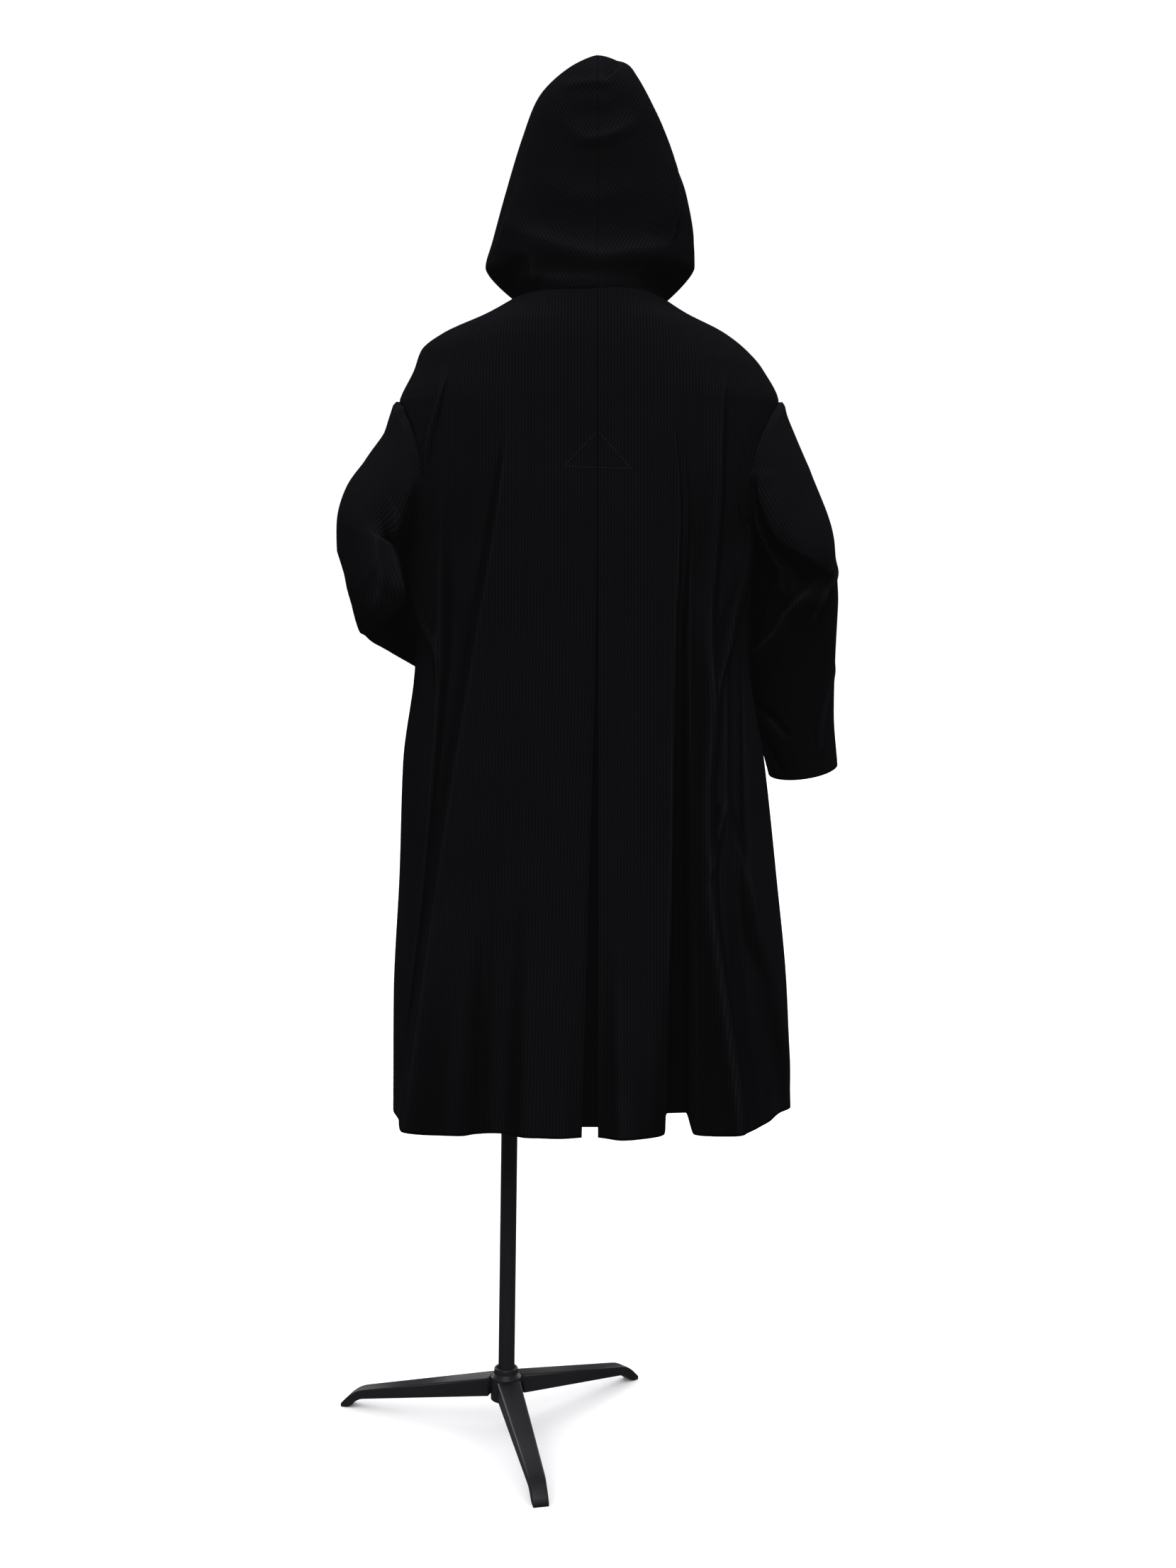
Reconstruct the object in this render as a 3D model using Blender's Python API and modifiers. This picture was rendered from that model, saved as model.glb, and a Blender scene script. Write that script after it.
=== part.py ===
"""Hooded coat of fine corduroy, back pleat open below a stitched triangle, on a limbless dress form.

Units are metres, +Z is up, the coat's front faces -Y, its back +Y, and +X is the wearer's left.
The pieces are worked out about the centre back seam, and the root empty then puts the middle
of the whole part's footprint at the origin, with the feet of the stand on Z = 0.
"""

import math
from collections import namedtuple

import bmesh
import bpy
import numpy as np

# Cloth
WALL = 0.002  # thickness of the corduroy
SEAM = 0.0003  # gap between two pieces at a seam
LEAD = 0.12  # share of a mesh step that is set off as a narrow strip along a seam
POCKET_WALL = WALL - 0.0001

# Heights on the body, measured at the side
NECK_Z = 1.543
YOKE_Z = 1.400
BLADE_Z = 1.250
WAIST_Z = 1.080
HIP_Z = 0.780
HEM_Z = 0.458
ARMHOLE_TOP_Z = 1.412
ARMHOLE_LOW_Z = 1.205
PLEAT_TOP_Z = 1.300
POCKET_TOP_Z = 0.930
POCKET_LOW_Z = 0.700
SHOULDER_ROWS = (NECK_Z, 1.531, 1.517, 1.502, 1.487, 1.470, 1.440)
SKIRT_ROWS = (1.130, 1.040, POCKET_TOP_Z, 0.860, HIP_Z, POCKET_LOW_Z, 0.620, 0.540, HEM_Z)

# Armholes: how far, in degrees, the panels stop short of the side
ARMHOLE_BACK = 36.0
ARMHOLE_FRONT = 40.0
ARMHOLE_SQUEEZE = 45.0  # lines on a panel beyond this angle are pressed together at an armhole
ARMHOLE_STEPS = 8
SLEEVE_GAP = 0.0006

# Fronts lap at the centre, the wearer's left over the right
LAP = 0.030
LAP_DROP = WALL + 0.0009
LAP_RAMP = 0.045

# Underlay of the back pleat
UNDERLAY_FLANGE = 0.028
UNDERLAY_GAP = 0.0003
UNDERLAY_ROWS = 12
UNDERLAY_COLUMNS = 11
UNDERLAY_SLOPE = 0.36  # share of the width in which each side falls to the trough
UNDERLAY_GROWTH = 1.4  # how late the trough deepens towards the hem
UNDERLAY_DEPTH_TOP = 0.003
UNDERLAY_DEPTH_HEM = 0.048

# Dress form
FORM_WALL = 0.006
FORM_CLEAR = 0.0022  # form to the inside of the cloth where the shoulders carry it
FORM_FRONT_CLEAR = 0.008  # more of it towards the front, behind the lapped edges
FORM_FRONT_SPREAD = 1.5  # how far round the sides that reaches
FORM_BOTTOM_Z = 0.880
FORM_COLUMNS = 28
FORM_PLATE = 0.010

# Stand
POLE_X = 0.1265
POLE_Y = 0.0
POLE_LEAN = -0.90  # degrees that the pole's top leans towards the coat's middle
POLE_RADIUS = 0.0113
POLE_PLAY = 0.0008  # clearance of the leaning pole in the hub
POLE_FOOT_Z = 0.046
HUB_RADIUS = 0.0215
HUB_LOW_Z = 0.040
HUB_SHOULDER_Z = 0.074
HUB_TOP_Z = 0.085
HUB_CHAMFER = 0.002
COLLAR_RADIUS = 0.0165
COLLAR_CHAMFER = 0.0015
COLLAR_FOOT = 0.003
LEG_BEARING = 342.8  # degrees round the pole of the first leg; the others follow at thirds
LEG_EDGE = 0.0022
ROUND_STEPS = 24

# Level sections of the body, from the neck seam down. z is given at the back, side and front,
# left and right are half widths, back and front are the Y reached, middle the Y of the widest line.
Ring = namedtuple("Ring", "back_z side_z front_z left right back front middle power")
BODY_RINGS = (
    Ring(1.545, 1.543, 1.452, 0.107, 0.084, 0.092, -0.066, 0.026, 2.0),
    Ring(1.522, 1.522, 1.440, 0.149, 0.120, 0.106, -0.080, 0.020, 1.9),
    Ring(1.500, 1.498, 1.428, 0.206, 0.170, 0.117, -0.090, 0.014, 1.9),
    Ring(1.478, 1.478, 1.414, 0.233, 0.197, 0.124, -0.097, 0.010, 2.0),
    Ring(1.450, 1.452, 1.396, 0.244, 0.217, 0.130, -0.103, 0.006, 2.2),
    Ring(1.400, 1.405, 1.365, 0.262, 0.238, 0.136, -0.110, 0.003, 2.4),
    Ring(1.312, 1.312, 1.300, 0.266, 0.230, 0.142, -0.118, 0.000, 2.5),
    Ring(1.215, 1.215, 1.210, 0.254, 0.212, 0.146, -0.122, 0.000, 2.5),
    Ring(1.080, 1.080, 1.080, 0.244, 0.204, 0.150, -0.128, 0.000, 2.5),
    Ring(0.930, 0.930, 0.930, 0.262, 0.226, 0.155, -0.136, 0.000, 2.5),
    Ring(0.780, 0.780, 0.780, 0.268, 0.243, 0.160, -0.144, 0.000, 2.5),
    Ring(0.620, 0.620, 0.620, 0.277, 0.259, 0.166, -0.152, 0.000, 2.5),
    Ring(0.458, 0.458, 0.458, 0.279, 0.266, 0.172, -0.160, 0.000, 2.5),
)

# Fold lines down a panel, from its centre edge to its side. x_* is the distance from the centre at
# five heights, out_* how far the line stands out from the level section at the lower four,
# steps the mesh columns up to the next line. The side seam closes each list.
Line = namedtuple(
    "Line", "name x_yoke x_blade x_waist x_hip x_hem out_blade out_waist out_hip out_hem steps"
)
BACK_LEFT_LINES = (
    Line("pleat edge", 0.000, 0.000, 0.002, 0.0105, 0.020, 0, 0, 0, 0, 2),
    Line("panel swell", 0.045, 0.045, 0.048, 0.060, 0.062, 0.001, 0.002, 0.004, 0.006, 2),
    Line("hollow", 0.080, 0.085, 0.100, 0.120, 0.128, 0, 0, -0.004, -0.014, 2),
    Line("hem wave", 0.098, 0.106, 0.130, 0.165, 0.182, 0.002, 0.002, 0.004, 0.026, 2),
    Line("long ridge", 0.110, 0.127, 0.158, 0.207, 0.255, 0.006, 0.010, 0.017, 0.057, 2),
    Line("shade", 0.150, 0.168, 0.183, 0.218, 0.268, -0.002, -0.006, -0.006, 0.004, 2),
    Line("side ridge", 0.195, 0.204, 0.205, 0.228, 0.273, 0.006, 0.008, 0.004, 0, 4),
)
BACK_RIGHT_LINES = (
    Line("pleat edge", 0.000, 0.000, 0.000, 0.000, 0.000, 0, 0, 0, 0, 2),
    Line("pleat swell", 0.022, 0.022, 0.024, 0.026, 0.026, 0.001, 0.003, 0.010, 0.025, 2),
    Line("panel middle", 0.058, 0.058, 0.060, 0.058, 0.056, 0.001, 0.002, 0.004, 0.004, 2),
    Line("near crest", 0.092, 0.103, 0.098, 0.094, 0.086, 0.006, 0.008, 0.004, -0.012, 2),
    Line("near wall", 0.098, 0.108, 0.102, 0.100, 0.095, 0.001, -0.026, -0.075, -0.116, 1),
    Line("far wall", 0.106, 0.115, 0.110, 0.116, 0.120, 0.001, -0.026, -0.075, -0.114, 2),
    Line("far crest", 0.114, 0.122, 0.116, 0.122, 0.124, 0.004, 0.006, 0.006, -0.006, 3),
    Line("underarm fold", 0.190, 0.197, 0.166, 0.142, 0.156, 0.010, 0.014, 0.012, 0.026, 2),
    Line("hollow", 0.203, 0.205, 0.184, 0.172, 0.192, -0.004, -0.006, -0.006, -0.020, 2),
    Line("side ridge", 0.212, 0.209, 0.192, 0.197, 0.242, 0, 0, 0.004, -0.034, 4),
)
FRONT_LEFT_LINES = (
    Line("lap edge", -LAP, -LAP, -LAP, -LAP, -LAP, 0, 0, 0, 0, 3),
    Line("centre", 0.030, 0.032, 0.034, 0.036, 0.038, 0, 0, 0, 0, 2),
    Line("near fold", 0.070, 0.075, 0.078, 0.085, 0.092, 0.002, 0.004, 0.008, 0.014, 2),
    Line("hollow", 0.100, 0.108, 0.115, 0.126, 0.135, -0.002, -0.004, -0.004, -0.012, 2),
    Line("far fold", 0.140, 0.150, 0.160, 0.172, 0.184, 0.002, 0.006, 0.006, 0.012, 2),
    Line("turn", 0.185, 0.190, 0.195, 0.216, 0.228, 0, 0, 0, 0.004, 4),
)
FRONT_RIGHT_LINES = (
    Line("lap edge", -LAP, -LAP, -LAP, -LAP, -LAP, 0, 0, 0, 0, 3),
    Line("centre", 0.034, 0.036, 0.036, 0.038, 0.040, 0, 0, 0, 0, 2),
    Line("near fold", 0.068, 0.072, 0.074, 0.080, 0.084, 0.001, 0.003, 0.006, 0.010, 2),
    Line("hollow", 0.095, 0.102, 0.104, 0.114, 0.122, -0.002, -0.003, -0.004, -0.010, 2),
    Line("far fold", 0.128, 0.136, 0.138, 0.152, 0.166, 0.002, 0.004, 0.006, 0.014, 2),
    Line("turn", 0.165, 0.168, 0.165, 0.192, 0.212, 0, 0, 0, 0.002, 4),
)
LINE_HEIGHTS = (YOKE_Z, BLADE_Z, WAIST_Z, HIP_Z, HEM_Z)

# Sections along a sleeve, from the armhole to the cuff: the middle of the section, its half size
# away from the body and its half size front to back, and how much of the armhole's shape is left.
Section = namedtuple("Section", "x y z out deep armhole")
SLEEVE_LEFT = (
    Section(0.246, 0.000, 1.312, 0.058, 0.090, 1.00),
    Section(0.283, 0.008, 1.274, 0.056, 0.090, 0.55),
    Section(0.305, 0.012, 1.234, 0.048, 0.088, 0.15),
    Section(0.300, -0.004, 1.186, 0.046, 0.080, 0.00),
    Section(0.296, -0.060, 1.150, 0.045, 0.064, 0.00),
    Section(0.275, -0.130, 1.129, 0.051, 0.055, 0.00),
    Section(0.240, -0.196, 1.104, 0.053, 0.054, 0.00),
)
SLEEVE_RIGHT = (
    Section(-0.216, 0.000, 1.312, 0.056, 0.090, 1.00),
    Section(-0.242, 0.006, 1.264, 0.052, 0.088, 0.50),
    Section(-0.267, 0.000, 1.206, 0.054, 0.082, 0.12),
    Section(-0.268, -0.016, 1.146, 0.058, 0.074, 0.00),
    Section(-0.267, -0.028, 1.074, 0.058, 0.066, 0.00),
    Section(-0.272, -0.042, 0.996, 0.054, 0.060, 0.00),
    Section(-0.286, -0.056, 0.917, 0.048, 0.056, 0.00),
)
SLEEVE_ROWS = 14

# Folds across a sleeve: the share of its length and the angle round it (0 outside, 90 at the back,
# 180 next to the body) where each starts and ends, its half width and how far it stands out.
SleeveFold = namedtuple("SleeveFold", "from_along from_turn to_along to_turn width out")
SLEEVE_LEFT_FOLDS = (
    SleeveFold(0.30, 120.0, 0.46, 55.0, 0.020, -0.007),
    SleeveFold(0.50, 170.0, 0.54, 40.0, 0.020, 0.006),
)
SLEEVE_RIGHT_FOLDS = (
    SleeveFold(0.36, 45.0, 0.52, 120.0, 0.022, -0.011),
    SleeveFold(0.46, 25.0, 0.66, 130.0, 0.022, 0.008),
)

# Level sections of the hood from the neck seam up; edge is the angle, from the centre back,
# at which the face opening starts.
HoodRing = namedtuple("HoodRing", Ring._fields + ("edge",))
HOOD_RINGS = (
    HoodRing(1.545, 1.543, 1.452, 0.107, 0.084, 0.092, -0.066, 0.026, 2.0, 158.0),
    HoodRing(1.566, 1.566, 1.514, 0.130, 0.104, 0.104, -0.100, 0.022, 1.9, 150.0),
    HoodRing(1.590, 1.587, 1.532, 0.148, 0.129, 0.122, -0.140, 0.006, 2.0, 140.0),
    HoodRing(1.626, 1.624, 1.582, 0.138, 0.128, 0.121, -0.170, 0.000, 2.1, 131.0),
    HoodRing(1.680, 1.680, 1.648, 0.122, 0.118, 0.122, -0.190, 0.000, 2.2, 126.0),
    HoodRing(1.750, 1.750, 1.722, 0.100, 0.089, 0.117, -0.200, 0.000, 2.2, 123.0),
    HoodRing(1.803, 1.803, 1.772, 0.078, 0.068, 0.100, -0.200, 0.000, 2.1, 122.0),
    HoodRing(1.835, 1.835, 1.800, 0.042, 0.046, 0.077, -0.200, 0.000, 2.0, 121.0),
    HoodRing(1.8445, 1.8445, 1.808, 0.019, 0.027, 0.060, -0.200, 0.000, 2.0, 120.0),
    HoodRing(1.8478, 1.8478, 1.811, 0.007, 0.007, 0.050, -0.200, 0.000, 2.0, 120.0),
    HoodRing(1.848, 1.848, 1.8112, 0.000, 0.000, 0.047, -0.200, 0.000, 2.0, 120.0),
)
HOOD_SEAM = 0.0006
HOOD_ROWS = 2 * (len(HOOD_RINGS) - 1)
HOOD_COLUMNS = 12
HOOD_INSIDE = (0.0, -0.02, 1.66)  # a point in the hollow, from which the cloth faces away

# Level sections of the dress form below and above the shoulders that carry the coat
FormRing = namedtuple("FormRing", "z front_z left right back front middle power")
FORM_TORSO = (
    FormRing(1.412, 1.350, 0.208, 0.178, 0.112, -0.094, 0.002, 2.3),
    FormRing(1.330, 1.290, 0.186, 0.160, 0.110, -0.104, 0.000, 2.4),
    FormRing(1.220, 1.210, 0.168, 0.144, 0.100, -0.104, 0.000, 2.3),
    FormRing(1.100, 1.100, 0.152, 0.130, 0.086, -0.090, 0.000, 2.2),
    FormRing(1.000, 1.000, 0.160, 0.136, 0.082, -0.092, 0.000, 2.3),
    FormRing(0.900, 0.900, 0.172, 0.146, 0.078, -0.096, 0.000, 2.4),
    FormRing(FORM_BOTTOM_Z, FORM_BOTTOM_Z, 0.172, 0.146, 0.076, -0.095, 0.000, 2.4),
)
FORM_NECK = (
    FormRing(1.610, 1.610, 0.050, 0.034, 0.060, -0.028, 0.016, 2.0),
    FormRing(1.604, 1.604, 0.058, 0.042, 0.066, -0.036, 0.016, 2.0),
    FormRing(1.572, 1.555, 0.060, 0.044, 0.068, -0.038, 0.016, 2.0),
    FormRing(1.544, 1.490, 0.072, 0.054, 0.075, -0.044, 0.020, 2.0),
)
FORM_SHOULDER_HEIGHTS = (1.530, 1.516, 1.502, 1.488, 1.474, 1.456)

# Stations along a leg of the stand, from the hub to the toe
LegStation = namedtuple("LegStation", "reach top low half_width")
LEG = (
    LegStation(HUB_RADIUS + SEAM, 0.0715, 0.0455, 0.0165),
    LegStation(0.222, 0.0275, 0.0142, 0.0112),
    LegStation(0.2355, 0.0185, 0.0000, 0.0106),
    LegStation(0.2480, 0.0055, 0.0000, 0.0102),
)

CORDUROY = ("black fine corduroy", (0.0042, 0.0042, 0.0050), 0.95, 0.0)
FORM_SHELL = ("grey papier-mache shell", (0.30, 0.29, 0.28), 0.85, 0.0)
STAND_METAL = ("dark painted steel", (0.026, 0.025, 0.029), 0.42, 0.6)


def glide(stations, values, at):
    """A smooth curve through a table's values: cubic pieces with slopes limited so none overshoots."""
    x = np.asarray(stations, float)
    y = np.asarray(values, float)
    if x[0] > x[-1]:
        x, y = x[::-1], y[::-1]
    flat = y.reshape(len(x), -1)
    gap = np.diff(x)[:, None]
    rise = np.diff(flat, axis=0) / gap
    slope = np.zeros_like(flat)
    slope[0], slope[-1] = rise[0], rise[-1]
    product = rise[:-1] * rise[1:]
    total = rise[:-1] + rise[1:]
    slope[1:-1] = np.where(product > 0, 2 * product / np.where(product > 0, total, 1), 0)
    at = np.clip(np.asarray(at, float), x[0], x[-1])
    i = np.clip(np.searchsorted(x, at, side="right") - 1, 0, len(x) - 2)
    t = ((at - x[i]) / np.diff(x)[i])[:, None]
    h = gap[i]
    out = (
        (1 + 2 * t) * (1 - t) ** 2 * flat[i]
        + t * (1 - t) ** 2 * h * slope[i]
        + t**2 * (3 - 2 * t) * flat[i + 1]
        + t**2 * (t - 1) * h * slope[i + 1]
    )
    return out.reshape((len(at),) + y.shape[1:])


def ease(t):
    """0 to 1 with level ends."""
    t = np.clip(t, 0, 1)
    return t * t * (3 - 2 * t)


def body_rows(heights):
    """The level sections at the given side heights, as a Ring of columns, one row a height."""
    table = np.array(BODY_RINGS)
    return Ring(*glide(table[:, Ring._fields.index("side_z")], table, heights).T[:, :, None])


def on_ring(ring, angle):
    """Points of a section: a rounded oval whose half sizes differ left, right, back and front.
    The angle is 0 at the centre back, +90 degrees at the wearer's left and 180 at the front."""
    s, c = np.sin(angle), np.cos(angle)
    half = np.where(s >= 0, ring.left, ring.right)
    depth = np.where(c >= 0, ring.back - ring.middle, ring.middle - ring.front)
    end_z = np.where(c >= 0, ring.back_z, ring.front_z)
    x = half * np.sign(s) * np.abs(s) ** (2 / ring.power)
    y = ring.middle + depth * np.sign(c) * np.abs(c) ** (2 / ring.power)
    z = ring.side_z + (end_z - ring.side_z) * c**2
    return np.stack([x, y, z], -1)


def line_columns(lines):
    """Where the mesh columns lie, counted in lines, with a narrow strip along each edge."""
    counted = [i + k / line.steps for i, line in enumerate(lines) for k in range(line.steps)]
    last = len(lines)
    return np.array([0.0, LEAD] + counted[1:] + [last - LEAD / lines[-1].steps, last])


def armhole_share(heights):
    """0 outside the armhole, rising to 1 half way down it along an oval."""
    s = (ARMHOLE_TOP_Z - heights) / (ARMHOLE_TOP_Z - ARMHOLE_LOW_Z)
    return np.sqrt(np.clip(4 * s * (1 - s), 0, 1))


def panel(lines, side, facing, heights, columns):
    """A back (facing 1) or front (facing -1) panel of one side (1 left, -1 right) as a grid.
    Each fold line keeps its distance from the centre and stands out along Y; between the lines
    the angle round the section and the relief glide, and at the armhole the edge draws back."""
    rows = body_rows(heights)
    table = np.array([line[1:10] for line in lines], float)
    low = np.minimum(heights, YOKE_Z)
    reach = glide(LINE_HEIGHTS, table[:, :5].T, low)
    relief = glide(LINE_HEIGHTS, np.vstack([np.zeros(len(lines)), table[:, 5:].T]), low)
    half = rows.left if side > 0 else rows.right
    yoke = body_rows(np.array([YOKE_Z]))
    yoke_half = yoke.left if side > 0 else yoke.right
    reach = np.where(heights[:, None] > YOKE_Z, reach * half / yoke_half, reach)
    share = np.clip(np.abs(reach) / half, 0, 0.995)
    angle = np.sign(reach) * np.arcsin(share ** (rows.power / 2))
    angle = np.hstack([angle, np.full((len(heights), 1), np.pi / 2)])
    relief = np.hstack([relief, np.zeros((len(heights), 1))])
    squeeze = np.radians(ARMHOLE_SQUEEZE)
    drawn = np.radians(ARMHOLE_BACK if facing > 0 else ARMHOLE_FRONT) * armhole_share(heights)
    pressed = squeeze + (angle - squeeze) * (1 - drawn[:, None] / (np.pi / 2 - squeeze))
    angle = np.where(angle > squeeze, pressed, angle)
    at_line = np.arange(len(lines) + 1)
    angle = glide(at_line, angle.T, columns).T
    relief = glide(at_line, relief.T, columns).T
    turned = angle if facing > 0 else np.pi - angle
    points = on_ring(rows, side * turned)
    points[..., 0] += side * SEAM / 2
    points[..., 1] += facing * relief
    points[:, -1, 1] += facing * SEAM / 2
    return points


def normals_of(points, wrap=False):
    """Unit normals of a grid from the differences along its rows and columns."""
    if wrap:
        padded = np.concatenate([points[:, -1:], points, points[:, :1]], 1)
        across = np.gradient(padded, axis=1)[:, 1:-1]
    else:
        across = np.gradient(points, axis=1)
    normal = np.cross(np.gradient(points, axis=0), across)
    return normal / np.maximum(np.linalg.norm(normal, axis=-1, keepdims=True), 1e-12)


def outward(points, inside, wrap=False):
    """Normals of a grid that point away from the given inside points."""
    normal = normals_of(points, wrap)
    return normal * np.sign(np.sum(normal * (points - inside)))


def material(looks):
    name, colour, roughness, metallic = looks
    if name in bpy.data.materials:
        return bpy.data.materials[name]
    made = bpy.data.materials.new(name)
    made.use_nodes = True
    shader = made.node_tree.nodes["Principled BSDF"]
    shader.inputs["Base Color"].default_value = (*colour, 1.0)
    shader.inputs["Roughness"].default_value = roughness
    shader.inputs["Metallic"].default_value = metallic
    return made


def place(name, mesh, looks, root, collection):
    obj = bpy.data.objects.new(name, mesh)
    mesh.materials.append(material(looks))
    collection.objects.link(obj)
    obj.parent = root
    return obj


def grid_mesh(name, points, inside, wrap=False, cap_first=False):
    """A mesh of a grid's quads, facing away from the inside points, closed round if it wraps."""
    rows, columns = points.shape[:2]
    index = np.arange(rows * columns).reshape(rows, columns)
    if wrap:
        index = np.hstack([index, index[:, :1]])
    quads = np.stack([index[:-1, :-1], index[:-1, 1:], index[1:, 1:], index[1:, :-1]], -1)
    quads = quads.reshape(-1, 4)
    corners = points.reshape(-1, 3)[quads]
    facing = np.cross(corners[:, 2] - corners[:, 0], corners[:, 3] - corners[:, 1])
    middle = corners.mean(axis=1)
    away = middle - np.broadcast_to(inside, points.shape).reshape(-1, 3)[quads].mean(axis=1)
    outside_in = np.sum(facing * away) < 0
    if outside_in:
        quads = quads[:, ::-1]
    faces = quads.tolist()
    if cap_first:
        first = index[0, :columns].tolist()
        faces.append(first if outside_in else first[::-1])
    mesh = bpy.data.meshes.new(name)
    mesh.from_pydata(points.reshape(-1, 3).tolist(), [], faces)
    mesh.shade_smooth()
    return mesh


def thicken(obj, thickness):
    shell = obj.modifiers.new("wall", "SOLIDIFY")
    shell.thickness = thickness
    shell.offset = -1.0


def axis_inside(points):
    """The point of the coat's upright axis level with each point."""
    return points * np.array([0.0, 0.0, 1.0])


def body_heights():
    """Heights of the mesh rows, neck to hem, with the armhole spaced as an oval's points."""
    turn = np.linspace(0, np.pi, ARMHOLE_STEPS + 1)
    depth = ARMHOLE_TOP_Z - ARMHOLE_LOW_Z
    armhole = ARMHOLE_TOP_Z - depth * (1 - np.cos(turn)) / 2
    return np.concatenate([SHOULDER_ROWS, armhole, SKIRT_ROWS])


def lap_under(points):
    """The right front drops behind the left one towards the centre front."""
    toward = ease((points[..., 0] + LAP + LAP_RAMP) / LAP_RAMP)
    return points - outward(points, axis_inside(points)) * LAP_DROP * toward[..., None]


def make_body(root, collection):
    heights = body_heights()
    panels = {
        "back_left": panel(BACK_LEFT_LINES, 1, 1, heights, line_columns(BACK_LEFT_LINES)),
        "back_right": panel(BACK_RIGHT_LINES, -1, 1, heights, line_columns(BACK_RIGHT_LINES)),
        "front_left": panel(FRONT_LEFT_LINES, 1, -1, heights, line_columns(FRONT_LEFT_LINES)),
        "front_right": lap_under(
            panel(FRONT_RIGHT_LINES, -1, -1, heights, line_columns(FRONT_RIGHT_LINES))
        ),
    }
    for name, points in panels.items():
        obj = place(name, grid_mesh(name, points, axis_inside(points)), CORDUROY, root, collection)
        thicken(obj, WALL)
    return panels


def make_pockets(panels, root, collection):
    """Patch pockets on the fronts, made of the panel's own points moved out."""
    heights = body_heights()
    rows = np.flatnonzero((heights <= POCKET_TOP_Z) & (heights >= POCKET_LOW_Z))
    for side, lines in (("left", FRONT_LEFT_LINES), ("right", FRONT_RIGHT_LINES)):
        front = panels["front_" + side]
        columns = line_columns(lines)
        first = [line.name for line in lines].index("hollow")
        across = np.flatnonzero((columns >= first) & (columns < len(lines) - LEAD))
        moved = front + outward(front, axis_inside(front)) * (WALL + SEAM)
        points = moved[np.ix_(rows, across)]
        name = "pocket_" + side
        mesh = grid_mesh(name, points, axis_inside(points))
        thicken(place(name, mesh, CORDUROY, root, collection), POCKET_WALL)


def make_underlay(root, collection):
    """The strip behind the back pleat: a trough that deepens from the triangle to the hem."""
    heights = np.linspace(PLEAT_TOP_Z, HEM_Z, UNDERLAY_ROWS)
    rows = body_rows(heights)
    table = np.array([BACK_LEFT_LINES[0][1:6], BACK_RIGHT_LINES[0][1:6]], float)
    edges = glide(LINE_HEIGHTS, table.T, heights)
    low = -edges[:, 1] - UNDERLAY_FLANGE
    high = edges[:, 0] + UNDERLAY_FLANGE
    across = np.linspace(0, 1, UNDERLAY_COLUMNS)
    x = low[:, None] + (high - low)[:, None] * across
    share = np.abs(x) / np.where(x >= 0, rows.left, rows.right)
    base = rows.middle + (rows.back - rows.middle) * (1 - share**rows.power) ** (1 / rows.power)
    down = (PLEAT_TOP_Z - heights) / (PLEAT_TOP_Z - HEM_Z)
    deeper = UNDERLAY_DEPTH_HEM - UNDERLAY_DEPTH_TOP
    depth = UNDERLAY_DEPTH_TOP + deeper * down**UNDERLAY_GROWTH
    trough = ease(np.minimum(across, 1 - across) / UNDERLAY_SLOPE)
    y = base - WALL - UNDERLAY_GAP - depth[:, None] * trough
    z = np.broadcast_to(heights[:, None], x.shape)
    points = np.stack([x, y, z], -1)
    mesh = grid_mesh("pleat_underlay", points, points - np.array([0.0, 1.0, 0.0]))
    thicken(place("pleat_underlay", mesh, CORDUROY, root, collection), WALL)


def armhole_loop(side):
    """The armhole as a closed line: from the top down the back panel's edge and up the front's."""
    heights = body_heights()
    low = np.flatnonzero(np.isclose(heights, ARMHOLE_TOP_Z))[0]
    heights = heights[low : low + ARMHOLE_STEPS + 1]
    edges = []
    for facing in (1, -1):
        lines = {
            (1, 1): BACK_LEFT_LINES,
            (-1, 1): BACK_RIGHT_LINES,
            (1, -1): FRONT_LEFT_LINES,
            (-1, -1): FRONT_RIGHT_LINES,
        }[(side, facing)]
        edges.append(panel(lines, side, facing, heights, np.array([float(len(lines))]))[:, 0])
    back, front = edges
    back[[0, -1]] = (back[[0, -1]] + front[[0, -1]]) / 2
    return np.concatenate([back, front[-2:0:-1]])


def sleeve_relief(folds, along, turn, length, girth):
    """How far the folds lift a sleeve's points: a soft bell across each line, fading past its ends."""
    relief = np.zeros((len(along), len(turn)))
    place_along = along[:, None] * length
    place_round = turn[None, :] / 360.0 * girth
    for fold in folds:
        start = np.array([fold.from_along * length, fold.from_turn / 360.0 * girth])
        run = np.array([fold.to_along * length, fold.to_turn / 360.0 * girth]) - start
        span = np.hypot(*run)
        ahead = ((place_along - start[0]) * run[0] + (place_round - start[1]) * run[1]) / span
        aside = ((place_along - start[0]) * run[1] - (place_round - start[1]) * run[0]) / span
        past = np.maximum(np.abs(ahead - span / 2) - span / 2, 0)
        relief += fold.out * np.exp(-(aside**2 + past**2) / fold.width**2)
    return relief


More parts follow.
